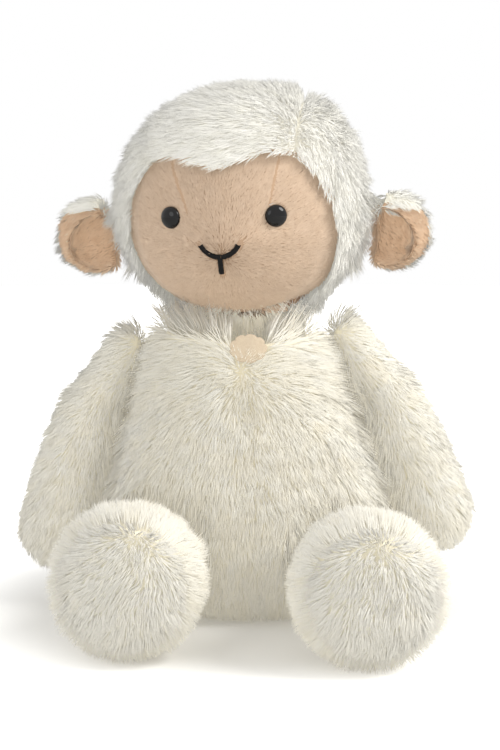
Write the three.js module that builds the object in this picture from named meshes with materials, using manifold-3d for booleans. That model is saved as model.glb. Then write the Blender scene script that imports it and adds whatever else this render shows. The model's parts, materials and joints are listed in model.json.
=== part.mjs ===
// Sitting plush sheep: stuffed body, head, arms, legs, ears and tail, sewn from pile fabric over fibre
// filling, with plastic safety eyes, an embroidered mouth and a bag of beans in the seat.
// Millimetres, +Z up. The sheep faces -Y, its own left side is +X, and it sits on the plane Z = 0 with
// the middle of its seat panel at the origin. Each limb is a group that stands at its own joint.

import * as THREE from "three";
import { mergeVertices } from "three/addons/utils/BufferGeometryUtils.js";
import Module from "manifold-3d";

const wasm = await Module();
wasm.setup();

// Clearances between pieces that rest on each other and round a piece that moves, and one overrun for cuts
const clearance = 0.3;
const sweepClearance = 0.8;
const overrun = 20;

// Thickness of each fabric with its pile
const bodyPile = 6;
const woolPile = 7;
const facePile = 3;
const liningPile = 3;

// Torso: half widths and heights of its outline, how far it leans, and its depth as shares of its width
const torsoTop = 164;
const seatHalfWidth = 46;
const hipHalfWidth = 73;
const hipHeight = 36;
const neckHalfWidth = 39;
const neckBelowTop = 16;
const torsoLean = -7.5;
const hipDepthShare = 0.76;
const neckDepthShare = 0.82;
const torsoSquareness = 2.15;
const frontSeamShift = 5.5;
const sideSeamBehind = 8;
const seatPanelHalfWidth = 41;
const seatPanelHalfDepth = 27;

// Bag of beans in the seat
const beanBagHalfWidth = 36;
const beanBagHalfDepth = 23;
const beanBagHeight = 21;
const beanBagBehind = 4;

// Neck filling, and how far the head nods on it
const neckRadius = 24;
const neckAside = -3;
const neckBehind = 2;
const neckPivotBelowTop = 5;
const nodForwardLimit = 8;
const nodBackLimit = 8;

// Head: half sizes of the fabric's backing, its seat on the neck, and its turn and tilt at rest
const headHalfWidth = 58.5;
const headHalfDepth = 51;
const headHalfHeight = 54;
const headSquareness = 2.2;
const headSeat = 17.5;
const headTurn = -10;
const headTilt = -1.7;
const crownLean = 5;
const chinNarrowing = 2;
const muzzleReach = 7;
const muzzleHalfWidth = 26;
const muzzleHalfHeight = 20;
const muzzleDrop = 22;

// Face outline in the front view, from the middle of the head
const faceHalfWidth = 50;
const faceBrow = 25;
const faceBrowOffset = 28;
const facePeak = 19;
const faceTemple = 12;
const faceTempleOffset = 44;
const faceCheekDrop = 14;
const faceChinDrop = 56;
const faceBehind = -10;
const gussetBrowHalfWidth = 26.5;
const gussetMouthReachLeft = 18;
const gussetMouthReachRight = 10;
const gussetMouthDrop = 18;
const gussetTipDrop = 30;
const woolGussetHalfWidth = 33;
const woolGussetNapeHalfWidth = 20;

// Safety eyes, pressed through the face on ribbed stems and held by washers
const eyeSpread = 24.7;
const eyeDrop = 3.6;
const eyeRadius = 5.3;
const eyeDome = 3.8;
const eyeRim = 0.9;
const eyeSink = 1.4;
const stemRadius = 1.4;
const stemLength = 14;
const stemRibs = 3;
const stemRibDepth = 0.35;
const washerRadius = 6;
const washerThickness = 1.2;
const washerHubRadius = 3.4;
const washerHubLength = 2.4;

// Embroidered mouth
const mouthRadius = 10;
const mouthShift = -0.8;
const mouthSpan = 129;
const mouthDrop = 13;
const mouthStemLength = 7.8;
const stitchWidth = 2.1;
const stitchHeight = 1.5;

// Ears
const earLength = 46;
const earHalfHeight = 22;
const earHalfDepth = 12;
const earWall = 5;
const earCup = 5.5;
const earCupDrop = 3;
const earRoot = 6;
const earSeat = 8;
const earBehind = 5;
const earDrop = 11;
const earDroop = 12;
const earSweepForward = 14;
const earFlopLimit = 15;

// Arms: a round shoulder, and a tapering arm that lies against the flat side of the torso
const shoulderHeight = 129;
const shoulderRadius = 14;
const shoulderOut = 10;
const sideFlat = 1.5;
const handStandOff = 3.5;
const armLength = 118;
const armHandRadius = 21.5;
const armHandRise = 72;
const armTaper = 35;
const armPress = 1.5;
const armOpeningRadius = 6;

// Legs and feet: a round hip in the torso, and a thigh that swells to a round foot
const hipOut = 46;
const hipInset = 25;
const hipRise = 31;
const legStagger = 7.5;
const legToeOut = 6;
const thighRadius = 24;
const thighLength = 27;
const footRadius = 37.2;
const footCentre = 80;
const footDome = 33;
const footFlat = 0.5;
const soleBehindCentre = 14;
const legOpeningRadius = 10;
const legRaiseLimit = 20;
const legDropLimit = 10;

// Tail
const tailHeight = 52;
const tailLength = 32;
const tailHalfWidth = 12;
const tailHalfDepth = 7;
const tailRoot = 5;
const tailSlope = 14;
const tailLiftLimit = 20;

// Patch on the chest
const patchHeight = 134.5;
const patchShift = 5.2;
const patchHalfWidth = 8.5;
const patchHalfHeight = 7;
const patchThickness = 1.6;
const patchScallops = 6;
const patchScallopShare = 0.07;

// Facets: round each form and along each curve of its outline
const torsoFacets = [22, 4];
const torsoInnerFacets = [14, 2];
const headFacets = [24, 12];
const headInnerFacets = [12, 8];
const armFacets = [16, 4];
const armInnerFacets = [10, 2];
const legFacets = [16, 4];
const legInnerFacets = [12, 2];
const earFacets = [10, 6];
const roomFacets = [16, 10];
const smallRoundFacets = 12;
const smallCurveFacets = 2;
const outlineFacets = 20;
const faceFacets = 20;
const curveFacets = 7;
const patchFacets = 4;

// Where a curve's handles go, as a share of its radius, for a quarter of a circle
const arcShare = 0.5523;

const degrees = THREE.MathUtils.degToRad;
const sides = { right: -1, left: 1 };
const reach = 2 * (torsoTop + 2 * headHalfHeight);

// A closed geometry as a solid, and a solid as a geometry
function solidOf(geometry) {
  const bare = geometry.clone();
  bare.deleteAttribute("normal");
  bare.deleteAttribute("uv");
  const merged = mergeVertices(bare, clearance / 1000);
  const vertProperties = merged.attributes.position.array;
  const triVerts = new Uint32Array(merged.index.array);
  return new wasm.Manifold(new wasm.Mesh({ numProp: 3, vertProperties, triVerts }));
}

function geometryOf(solid) {
  const mesh = solid.getMesh();
  const geometry = new THREE.BufferGeometry();
  geometry.setAttribute("position", new THREE.BufferAttribute(mesh.vertProperties, 3));
  geometry.setIndex(new THREE.BufferAttribute(mesh.triVerts, 1));
  const flat = geometry.toNonIndexed();
  flat.computeVertexNormals();
  return flat;
}

// A frame by its place, its turns about X, Y and Z in degrees, and the frame that it stands in
function frameAt(x, y, z, turns = [0, 0, 0], parent = new THREE.Matrix4()) {
  const euler = new THREE.Euler(...turns.map(degrees), "ZYX");
  const local = new THREE.Matrix4().makeRotationFromEuler(euler).setPosition(x, y, z);
  return new THREE.Matrix4().multiplyMatrices(parent, local);
}

const world = frameAt(0, 0, 0);
const placed = (solid, frame) => solid.transform(frame.elements);
const seenFrom = (frame, solid, from) => placed(solid, frame.clone().invert().multiply(from));
const joined = (solids) => solids.reduce((whole, next) => whole.add(next));

// A cosine or sine drawn out towards a square; 2 leaves it as it is
const rounded = (value, squareness) => Math.sign(value) * Math.abs(value) ** (2 / squareness);

// A superellipse from the lowest point to the highest, as half of a stuffed form's outline
class RoundedOutline extends THREE.Curve {
  constructor(halfWidth, halfHeight, squareness) {
    super();
    Object.assign(this, { halfWidth, halfHeight, squareness });
  }

  getPoint(t) {
    const angle = Math.PI * (t - 0.5);
    const [across, up] = [Math.cos(angle), Math.sin(angle)].map((v) => rounded(v, this.squareness));
    return new THREE.Vector2(this.halfWidth * across, this.halfHeight * up);
  }
}

// A stuffed form: rings of a rounded section along +Z, from pole to pole of the outline. grow moves the
// surface out from the outline, or in if it is negative, and shape moves the finished points.
function stuffedForm(form, facets, grow = 0) {
  const { outline, depthShare = () => 1, squareness = 2, shape = (p) => p } = form;
  const [around, along] = facets;
  const profile = outline.getPoints(along);
  const last = profile.length - 1;
  const points = [];
  profile.forEach((at, i) => {
    if (i === 0 || i === last) {
      points.push(shape(new THREE.Vector3(0, 0, at.y + Math.sign(i - 1) * grow)));
      return;
    }
    const way = new THREE.Vector2().subVectors(profile[i + 1], profile[i - 1]).normalize();
    const halfWidth = at.x + grow * way.y;
    const halfDepth = at.x * depthShare(at.y) + grow * way.y;
    for (let j = 0; j < around; j++) {
      const angle = (2 * Math.PI * j) / around;
      const x = halfWidth * rounded(Math.cos(angle), squareness);
      const y = halfDepth * rounded(Math.sin(angle), squareness);
      points.push(shape(new THREE.Vector3(x, y, at.y - grow * way.x)));
    }
  });
  const ring = (i, j) => 1 + (i - 1) * around + (j % around);
  const index = [];
  for (let j = 0; j < around; j++) {
    index.push(0, ring(1, j + 1), ring(1, j));
    index.push(points.length - 1, ring(last - 1, j), ring(last - 1, j + 1));
    for (let i = 1; i < last - 1; i++) {
      index.push(ring(i, j), ring(i, j + 1), ring(i + 1, j));
      index.push(ring(i, j + 1), ring(i + 1, j + 1), ring(i + 1, j));
    }
  }
  const geometry = new THREE.BufferGeometry().setFromPoints(points);
  geometry.setIndex(index);
  return solidOf(geometry);
}

// A ball, a rod along +Z from its foot, a turned shape, and prisms of the plan and of the front view
const ball = (radius, [around, along]) => solidOf(new THREE.SphereGeometry(radius, around, along));

function rod(radius, length, around) {
  const turned = new THREE.CylinderGeometry(radius, radius, length, around);
  return solidOf(turned.rotateX(Math.PI / 2).translate(0, 0, length / 2));
}

const turned = (profile, around) => solidOf(new THREE.LatheGeometry(profile, around).rotateX(Math.PI / 2));

function planPrism(shape, lowZ, highZ) {
  const settings = { depth: highZ - lowZ, bevelEnabled: false, curveSegments: curveFacets };
  return solidOf(new THREE.ExtrudeGeometry(shape, settings).translate(0, 0, lowZ));
}

const uprightTurn = frameAt(0, 0, 0, [90, 0, 0]);
const frontPrism = (shape, nearY, farY) => placed(planPrism(shape, -farY, -nearY), uprightTurn);

// All of space past a plane square to one axis, towards its + side or, with way -1, its - side
function past(axis, at, way = 1) {
  const middle = new THREE.Vector3();
  middle[axis] = at + (way * reach) / 2;
  return solidOf(new THREE.BoxGeometry(reach, reach, reach).translate(...middle));
}

// The same solid on the other side of the plane X = 0 for the right-hand limbs
const mirrorX = new THREE.Matrix4().makeScale(-1, 1, 1);
const forSide = (solid, side) => (side > 0 ? solid : placed(solid, mirrorX));

// Torso form

const neckHeight = torsoTop - neckBelowTop;
const torsoOutline = new THREE.Path();
torsoOutline.moveTo(0, 0);
torsoOutline.lineTo(seatHalfWidth, 0);
torsoOutline.bezierCurveTo(
  seatHalfWidth + 0.7 * (hipHalfWidth - seatHalfWidth), 0,
  hipHalfWidth, 0.4 * hipHeight,
  hipHalfWidth, hipHeight,
);
torsoOutline.bezierCurveTo(
  hipHalfWidth, hipHeight + 0.35 * (neckHeight - hipHeight),
  neckHalfWidth + 0.36 * (hipHalfWidth - neckHalfWidth), hipHeight + 0.7 * (neckHeight - hipHeight),
  neckHalfWidth, neckHeight,
);
torsoOutline.bezierCurveTo(
  0.85 * neckHalfWidth, neckHeight + 0.75 * neckBelowTop,
  0.45 * neckHalfWidth, torsoTop,
  0, torsoTop,
);

const leanAt = (z) => (torsoLean * z) / torsoTop;
const leanAngle = THREE.MathUtils.radToDeg(Math.atan(torsoLean / torsoTop));
const torsoForm = {
  outline: torsoOutline,
  depthShare: (z) => hipDepthShare + ((neckDepthShare - hipDepthShare) * z) / torsoTop,
  squareness: torsoSquareness,
  shape: (p) => p.setX(p.x + leanAt(p.z)),
};

function torsoHalfWidthAt(z) {
  const points = torsoOutline.getPoints(outlineFacets).filter((p) => p.y >= hipHeight);
  const above = points.findIndex((p) => p.y > z);
  const [low, high] = [points[above - 1], points[above]];
  return low.x + ((high.x - low.x) * (z - low.y)) / (high.y - low.y);
}

// Joint frames. An arm's frame has X square to the flat side of the torso, and a leg's has Z along the leg.

const neckFrame = frameAt(neckAside, neckBehind, torsoTop - neckPivotBelowTop);
const headTurns = [0, headTilt, headTurn];
const headFrame = frameAt(0, 0, 0, headTurns, neckFrame);
const headRise = headHalfHeight + woolPile - headSeat;
const headMiddle = frameAt(0, 0, headRise);

const sideAtShoulder = torsoHalfWidthAt(shoulderHeight) - sideFlat;
const sideSpread = hipHalfWidth + handStandOff - sideAtShoulder;
const sideSlope = THREE.MathUtils.radToDeg(Math.atan(sideSpread / (shoulderHeight - hipHeight)));
function armFrame(side) {
  const spine = frameAt(leanAt(shoulderHeight), 0, shoulderHeight, [0, leanAngle, 0]);
  const seam = frameAt(side * sideAtShoulder, 0, 0, [0, -side * sideSlope, 0], spine);
  return frameAt(side * shoulderOut, 0, 0, [0, 0, 0], seam);
}

const hipForward = hipHalfWidth * hipDepthShare - hipInset;
const legPitch = THREE.MathUtils.radToDeg(Math.asin((footRadius - footFlat - hipRise) / footCentre));
function legFrame(side) {
  const hip = [side * hipOut + leanAt(hipRise), -hipForward - side * legStagger, hipRise];
  return frameAt(...hip, [90 - legPitch, 0, side * legToeOut]);
}

const earOut = headHalfWidth + woolPile - earSeat;
function earFrame(side) {
  const turns = [0, side * earDroop, -side * earSweepForward];
  return frameAt(side * earOut, earBehind, headRise - earDrop, turns, headFrame);
}

const tailOut = hipHalfWidth * hipDepthShare + tailHalfDepth / 2;
const tailFrame = frameAt(leanAt(tailHeight), tailOut, tailHeight, [tailSlope, 0, 0]);

// Head form, about the neck pivot

const headOutline = new RoundedOutline(headHalfWidth, headHalfHeight, headSquareness);

function headShape(p) {
  const low = Math.max(0, -p.z / headHalfHeight);
  const high = Math.max(0, p.z / headHalfHeight);
  p.x += crownLean * high * high - (chinNarrowing * low * low * p.x) / headHalfWidth;
  if (p.y < 0) {
    const side = p.x / muzzleHalfWidth;
    const rise = (p.z + muzzleDrop) / muzzleHalfHeight;
    const front = Math.min(1, (-2 * p.y) / headHalfDepth);
    p.y -= muzzleReach * front * Math.exp(-side * side - rise * rise);
  }
  return p.setZ(p.z + headRise);
}

const headDepthShare = headHalfDepth / headHalfWidth;
const headForm = { outline: headOutline, depthShare: () => headDepthShare, shape: headShape };
const headAt = (grow, facets = headFacets) => stuffedForm(headForm, facets, grow);

// All that the head passes through over the torso: its outline nodded to the limit, turned about the neck
function headRoom() {
  const room = woolPile + sweepClearance;
  const nod = degrees(Math.max(nodForwardLimit, nodBackLimit) + Math.abs(headTilt));
  const grown = new RoundedOutline(headHalfWidth + room, headHalfHeight + room, headSquareness);
  const nodded = grown.getPoints(outlineFacets).map((p) => {
    const [r, z] = [p.x, p.y + headRise];
    return new THREE.Vector2(r, z).rotateAround(new THREE.Vector2(), -nod);
  });
  const outside = nodded.filter((p) => p.x > 0);
  const foot = new THREE.Vector2(0, -headSeat - sweepClearance);
  const crown = new THREE.Vector2(0, outside.at(-1).y);
  return placed(turned([foot, ...outside, crown], roomFacets[0]), neckFrame);
}

const neckRoom = placed(ball(neckRadius + sweepClearance, roomFacets), neckFrame);

// Leg form, along +Z from the round hip to the sole

const legEnd = footCentre + footDome;
const legOutline = new THREE.Path();
legOutline.moveTo(0, -thighRadius);
legOutline.bezierCurveTo(
  arcShare * thighRadius, -thighRadius,
  thighRadius, -arcShare * thighRadius,
  thighRadius, 0,
);
legOutline.lineTo(thighRadius, thighLength);
legOutline.bezierCurveTo(
  thighRadius, thighLength + 0.3 * (footCentre - thighLength),
  footRadius, thighLength + 0.5 * (footCentre - thighLength),
  footRadius, footCentre,
);
legOutline.bezierCurveTo(
  footRadius, footCentre + 0.6 * footDome,
  0.6 * footRadius, legEnd,
  0, legEnd,
);

// All that a leg passes through in the torso: the round hip, and a thigh and calf as they rise and drop
function legRoom(side) {
  const [thigh, foot] = [thighRadius + sweepClearance, footRadius + sweepClearance];
  const swellEnd = thighLength + 0.6 * (footCentre - thighLength);
  const profile = [
    [0, 0],
    [thigh, 0],
    [thigh, thighLength],
    [foot, swellEnd],
    [foot, footCentre],
    [0, footCentre],
  ];
  const leg = turned(profile.map(([r, z]) => new THREE.Vector2(r, z)), roomFacets[0]);
  const span = legRaiseLimit + legDropLimit;
  const legs = [0, 1 / 3, 2 / 3, 1].map((share) => {
    const angle = legDropLimit - share * span;
    return placed(leg, frameAt(0, 0, 0, [angle, 0, 0], legFrame(side)));
  });
  return joined([placed(ball(thigh, roomFacets), legFrame(side)), ...legs]);
}

// Torso pieces

function armRoom(side) {
  const flat = past("x", -side * shoulderOut, side);
  return placed(flat.add(ball(shoulderRadius + sweepClearance, roomFacets)), armFrame(side));
}

const torsoRooms = [headRoom(), neckRoom];
for (const side of Object.values(sides)) torsoRooms.push(armRoom(side), legRoom(side));
const withoutNeighbours = (solid) => torsoRooms.reduce((left, room) => left.subtract(room), solid);

function torsoPieces() {
  const inner = stuffedForm(torsoForm, torsoInnerFacets, -bodyPile);
  const cover = withoutNeighbours(stuffedForm(torsoForm, torsoFacets).subtract(inner));
  const seatDisc = (grow) => {
    const shape = new THREE.Shape();
    shape.absellipse(0, 0, seatPanelHalfWidth + grow, seatPanelHalfDepth + grow, 0, 2 * Math.PI);
    return planPrism(shape, -overrun, bodyPile + overrun / 2);
  };
  const around = cover.subtract(seatDisc(clearance));
  const front = around.intersect(past("y", sideSeamBehind - clearance / 2, -1));
  const seam = frameAt(frontSeamShift, 0, 0, [0, leanAngle, 0]);
  const filling = withoutNeighbours(stuffedForm(torsoForm, torsoInnerFacets, -bodyPile - clearance));
  return {
    seat_panel: cover.intersect(seatDisc(0)),
    body_back: around.intersect(past("y", sideSeamBehind + clearance / 2)),
    body_front_left: front.intersect(placed(past("x", clearance / 2), seam)),
    body_front_right: front.intersect(placed(past("x", -clearance / 2, -1), seam)),
    body_filling: filling.subtract(beanBag(clearance)),
    seat_bean_bag: withoutNeighbours(beanBag(0)),
    chest_patch: chestPatch(),
  };
}

function beanBag(grow) {
  const outline = new THREE.Path();
  outline.moveTo(0, 0);
  outline.lineTo(0.8 * beanBagHalfWidth, 0);
  outline.quadraticCurveTo(beanBagHalfWidth, 0, beanBagHalfWidth, 0.35 * beanBagHeight);
  outline.bezierCurveTo(
    beanBagHalfWidth, 0.8 * beanBagHeight,
    0.6 * beanBagHalfWidth, beanBagHeight,
    0, beanBagHeight,
  );
  const form = { outline, depthShare: () => beanBagHalfDepth / beanBagHalfWidth };
  return placed(stuffedForm(form, torsoInnerFacets, grow), frameAt(0, beanBagBehind, bodyPile + clearance));
}

// A flat patch with a soft scalloped edge, laid on the curve of the chest
function chestPatch() {
  const shape = new THREE.Shape();
  const steps = patchFacets * patchScallops;
  for (let i = 0; i < steps; i++) {
    const angle = (2 * Math.PI * i) / steps;
    const swell = 1 + patchScallopShare * Math.cos(patchScallops * angle);
    const point = [patchHalfWidth * swell * Math.cos(angle), patchHalfHeight * swell * Math.sin(angle)];
    if (i === 0) shape.moveTo(...point);
    else shape.lineTo(...point);
  }
  const middle = frameAt(leanAt(patchHeight) + patchShift, 0, patchHeight);
  const front = placed(frontPrism(shape, -reach, 0), middle);
  const grown = (grow) => stuffedForm(torsoForm, torsoFacets, grow);
  return front.intersect(grown(patchThickness + clearance)).subtract(grown(clearance));
}

// Head pieces

function faceShape(grow) {
  const half = [
    [0, facePeak],
    [0.5 * faceBrowOffset, facePeak + 0.75 * (faceBrow - facePeak)],
    [faceBrowOffset, faceBrow],
    [faceTempleOffset, faceTemple],
    [faceHalfWidth, -faceCheekDrop],
    [0.84 * faceHalfWidth, -0.66 * faceChinDrop],
    [0.45 * faceHalfWidth, -0.93 * faceChinDrop],
    [0, -faceChinDrop],
  ];
  const outward = (x, i) => (i === 0 || i === half.length - 1 ? 0 : x + grow);
  const upward = (z) => (z > 0 ? z + grow : z - grow);
  const left = new THREE.SplineCurve(half.map(([x, z], i) => new THREE.Vector2(outward(x, i), upward(z))));
  const points = left.getSpacedPoints(faceFacets);
  const mirrored = points.slice(1, -1).reverse().map((p) => new THREE.Vector2(-p.x, p.y));
  return new THREE.Shape([...points, ...mirrored]);
}

// The middle panel of the face, between two darts that run down from the hair to the mouth
function faceGussetShape(grow) {
  const corners = [
    [gussetBrowHalfWidth + grow, faceBrow + overrun],
    [gussetBrowHalfWidth + grow, faceBrow],
    [gussetMouthReachLeft + grow, -gussetMouthDrop],
    [0, -gussetTipDrop - grow],
    [-gussetMouthReachRight - grow, -gussetMouthDrop],
    [-gussetBrowHalfWidth - grow, faceBrow],
    [-gussetBrowHalfWidth - grow, faceBrow + overrun],
  ];
  return new THREE.Shape(corners.map(([x, z]) => new THREE.Vector2(x, z)));
}

// The middle panel of the wool, over the crown from the brow to the nape, where it is narrower
function woolGusset(grow) {
  const [front, back] = [woolGussetHalfWidth + grow, woolGussetNapeHalfWidth + grow];
  const left = [[front, -reach], [front, 0], [back, headHalfDepth], [back, reach]];
  const right = left.map(([x, y]) => [-x, y]).reverse();
  const corners = [...left, ...right];
  const prism = planPrism(new THREE.Shape(corners.map(([x, y]) => new THREE.Vector2(x, y))), -reach, reach);
  const underFace = past("z", headRise - grow, -1).intersect(past("y", -grow, -1));
  return prism.subtract(underFace);
}

// The place of an eye: at its seat in the face, with Z pointing straight out of it
function eyeFrame(side) {
  const [x, z] = [(side * eyeSpread) / headHalfWidth, -eyeDrop / headHalfHeight];
  const ringShare = (1 - Math.abs(z) ** headSquareness) ** (1 / headSquareness);
  const y = -Math.sqrt(ringShare ** 2 - x ** 2);
  const out = new THREE.Vector3(x / headHalfWidth, y / headHalfDepth, z / headHalfHeight).normalize();
  const place = headShape(new THREE.Vector3(side * eyeSpread, y * headHalfDepth, -eyeDrop));
  place.addScaledVector(out, facePile - eyeSink);
  const turn = new THREE.Quaternion().setFromUnitVectors(new THREE.Vector3(0, 0, 1), out);
  return new THREE.Matrix4().compose(place, turn, new THREE.Vector3(1, 1, 1));
}

function eye() {
  const profile = new THREE.Path();
  profile.moveTo(0, -stemLength);
  profile.lineTo(stemRadius, -stemLength);
  const ribPitch = (stemLength - washerHubLength) / (2 * stemRibs);
  for (let i = 1; i <= stemRibs; i++) {
    const height = -stemLength + i * ribPitch;
    profile.lineTo(stemRadius + stemRibDepth, height);
    profile.lineTo(stemRadius, height);
  }
  profile.lineTo(stemRadius, 0);
  profile.lineTo(eyeRadius, 0);
  profile.lineTo(eyeRadius, eyeRim);
  profile.absellipse(0, eyeRim, eyeRadius, eyeDome - eyeRim, 0, Math.PI / 2);
  return turned(profile.getPoints(smallCurveFacets), smallRoundFacets);
}

const washerHole = stemRadius + stemRibDepth + clearance;

function washer() {
  const profile = [
    [washerHole, -washerHubLength],
    [washerHubRadius, -washerHubLength],
    [washerHubRadius, -washerThickness],
    [washerRadius, -washerThickness],
    [washerRadius, 0],
    [washerHole, 0],
    [washerHole, -washerHubLength],
  ];
  return turned(profile.map(([r, z]) => new THREE.Vector2(r, z)), smallRoundFacets);
}

// Room for an eye in the face, and for its stem and washer in the filling
function eyeRoom(side) {
  const frame = eyeFrame(side);
  const head = rod(eyeRadius + clearance, eyeDome + overrun, smallRoundFacets);
  const stem = rod(washerHole, stemLength + 2 * clearance, smallRoundFacets);
  const hub = rod(washerRadius + clearance, washerHubLength + 2 * clearance, smallRoundFacets);
  return joined([
    placed(head, frameAt(0, 0, -clearance, [0, 0, 0], frame)),
    placed(stem, frameAt(0, 0, -stemLength - clearance, [0, 0, 0], frame)),
    placed(hub, frameAt(0, 0, -washerHubLength - clearance, [0, 0, 0], washerFrame(side))),
  ]);
}

const washerFrame = (side) => frameAt(0, 0, eyeSink - facePile - clearance, [0, 0, 0], eyeFrame(side));

// A smile with a stroke down from its middle, worked in satin stitch on the curve of the muzzle
function mouth() {
  const half = degrees(mouthSpan / 2);
  const [start, end] = [-Math.PI / 2 - half, -Math.PI / 2 + half];
  const halfStitch = stitchWidth / 2;
  const smile = new THREE.Shape();
  smile.absarc(0, 0, mouthRadius + halfStitch, start, end);
  smile.absarc(0, 0, mouthRadius - halfStitch, end, start, true);
  const stroke = new THREE.Shape();
  stroke.moveTo(halfStitch, -mouthRadius);
  stroke.lineTo(-halfStitch, -mouthRadius);
  stroke.absarc(0, -mouthRadius - mouthStemLength + halfStitch, halfStitch, Math.PI, 2 * Math.PI);
  const middle = frameAt(mouthShift, 0, headRise - mouthDrop);
  const prisms = [smile, stroke].map((shape) => placed(frontPrism(shape, -reach, 0), middle));
  return joined(prisms).intersect(headAt(facePile + stitchHeight)).subtract(headAt(facePile + clearance));
}

function headPieces() {
  const inner = headAt(0, headInnerFacets);
  const inHead = (prism) => placed(prism, headMiddle);
  const facePrism = (grow) => inHead(frontPrism(faceShape(grow), -reach, faceBehind + grow));
  const gussetPrism = (grow) => inHead(frontPrism(faceGussetShape(grow), -reach, 0));
  const neckHole = ball(neckRadius + sweepClearance, roomFacets);
  const eyeRooms = joined(Object.values(sides).map(eyeRoom));

  const wool = headAt(woolPile).subtract(inner).subtract(facePrism(clearance)).subtract(neckHole);
  const woolSides = wool.subtract(woolGusset(clearance));
  const faceCloth = headAt(facePile).subtract(inner).intersect(facePrism(0));
  const face = faceCloth.subtract(neckHole).subtract(eyeRooms);
  const cheeks = face.subtract(gussetPrism(clearance));
  const pieces = {
    head_filling: headAt(-clearance, headInnerFacets).subtract(neckHole).subtract(eyeRooms),
    wool_gusset: wool.intersect(woolGusset(0)),
    wool_left: woolSides.intersect(past("x", clearance / 2)),
    wool_right: woolSides.intersect(past("x", -clearance / 2, -1)),
    face_gusset: face.intersect(gussetPrism(0)),
    face_left: cheeks.intersect(past("x", clearance / 2)),
    face_right: cheeks.intersect(past("x", -clearance / 2, -1)),
    mouth_stitch: mouth(),
  };
  for (const [name, side] of Object.entries(sides)) {
    pieces["eye_" + name] = placed(eye(), eyeFrame(side));
    pieces["eye_washer_" + name] = placed(washer(), washerFrame(side));
  }
  return pieces;
}

// Ears: a cupped back with a cupped lining in it. X runs out along the ear from its root.

function earPieces(name, side) {
  const egg = (halfLength, halfDepth, halfHeight, middle) => {
    const sphere = new THREE.SphereGeometry(1, ...earFacets).rotateX(Math.PI / 2);
    return placed(solidOf(sphere.scale(halfLength, halfDepth, halfHeight)), middle);
  };
  const middle = frameAt(earLength / 2 - earRoot, 0, 0);
  const cup = frameAt(0, -earCup, -earCupDrop, [0, 0, 0], middle);
  const whole = (grow) => egg(earLength / 2 + grow, earHalfDepth + grow, earHalfHeight + grow, middle);
  const hollow = (grow) => {
    const wall = earWall - grow;
    return egg(earLength / 2 - wall, earHalfDepth - wall / 2, earHalfHeight - wall, cup);
  };
  const clearOfHead = (solid) => {
    const shaped = forSide(solid, side);
    const passes = [-earFlopLimit, 0, earFlopLimit].map((flop) => {
      const flopped = frameAt(0, 0, 0, [0, flop, 0], earFrame(side));
      return seenFrom(flopped, headAt(woolPile + sweepClearance), headFrame);
    });
    return passes.reduce((left, pass) => left.subtract(pass), shaped);
  };
  const lining = whole(-clearance).intersect(hollow(-clearance)).subtract(hollow(-clearance - liningPile));
  return {
    ["ear_" + name + "_back"]: clearOfHead(whole(0).subtract(hollow(0))),
    ["ear_" + name + "_lining"]: clearOfHead(lining),
  };
}

// A sewn tube of fabric and the filling in it, which fills the round opening at the tube's root
function sewnTube(form, facets, innerFacets, opening) {
  const whole = stuffedForm(form, facets);
  const hollow = (grow) => stuffedForm(form, innerFacets, -bodyPile + grow);
  const plug = opening(-clearance).intersect(whole);
  return {
    cover: whole.subtract(hollow(0)).subtract(opening(0)),
    filling: hollow(-clearance).add(plug),
  };
}

// Arms, hanging along -Z from the shoulder, where they are round

function armPieces(name, side) {
  const handEnd = -armLength;
  const outline = new THREE.Path();
  outline.moveTo(0, handEnd);
  outline.bezierCurveTo(
    0.6 * armHandRadius, handEnd,
    armHandRadius, handEnd + 0.45 * armHandRadius,
    armHandRadius, handEnd + 1.1 * armHandRadius,
  );
  outline.bezierCurveTo(
    armHandRadius, handEnd + armHandRise,
    shoulderRadius, -0.25 * armTaper,
    shoulderRadius, 0,
  );
  outline.bezierCurveTo(
    shoulderRadius, arcShare * shoulderRadius,
    arcShare * shoulderRadius, shoulderRadius,
    0, shoulderRadius,
  );
  const handOut = armHandRadius - shoulderOut - armPress;
  const form = {
    outline,
    shape: (p) => {
      const share = THREE.MathUtils.clamp(-p.z / armTaper, 0, 1);
      return p.setX(p.x + (handOut * (1 - Math.cos(Math.PI * share))) / 2);
    },
  };
  const opening = (grow) => {
    const length = shoulderRadius + overrun;
    return placed(rod(armOpeningRadius + grow, length, smallRoundFacets), frameAt(0, 0, 0, [0, -90, 0]));
  };
  const { cover, filling } = sewnTube(form, armFacets, armInnerFacets, opening);
  const pastSeam = past("x", clearance - shoulderOut).add(ball(shoulderRadius, armFacets));
  const clearOfTorso = (solid) => {
    const seated = seenFrom(armFrame(side), headRoom(), world);
    return forSide(solid.intersect(pastSeam), side).subtract(seated);
  };
  return {
    ["arm_" + name + "_cover"]: clearOfTorso(cover),
    ["arm_" + name + "_filling"]: clearOfTorso(filling),
  };
}

// Leg pieces

function legPieces(name, side) {
  const opening = (grow) => {
    const length = thighRadius + overrun;
    return placed(rod(legOpeningRadius + grow, length, smallRoundFacets), frameAt(0, 0, 0, [180, 0, 0]));
  };
  const { cover, filling } = sewnTube({ outline: legOutline }, legFacets, legInnerFacets, opening);
  const underFloor = seenFrom(legFrame(side), past("z", 0, -1), world);
  const onFloor = cover.subtract(underFloor);
  const soleSeam = footCentre + soleBehindCentre;
  return {
    ["leg_" + name + "_cover"]: onFloor.intersect(past("z", soleSeam - clearance / 2, -1)),
    ["leg_" + name + "_sole"]: onFloor.intersect(past("z", soleSeam + clearance / 2)),
    ["leg_" + name + "_filling"]: filling,
  };
}

// Tail, hanging along -Z from its root on the back

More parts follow.
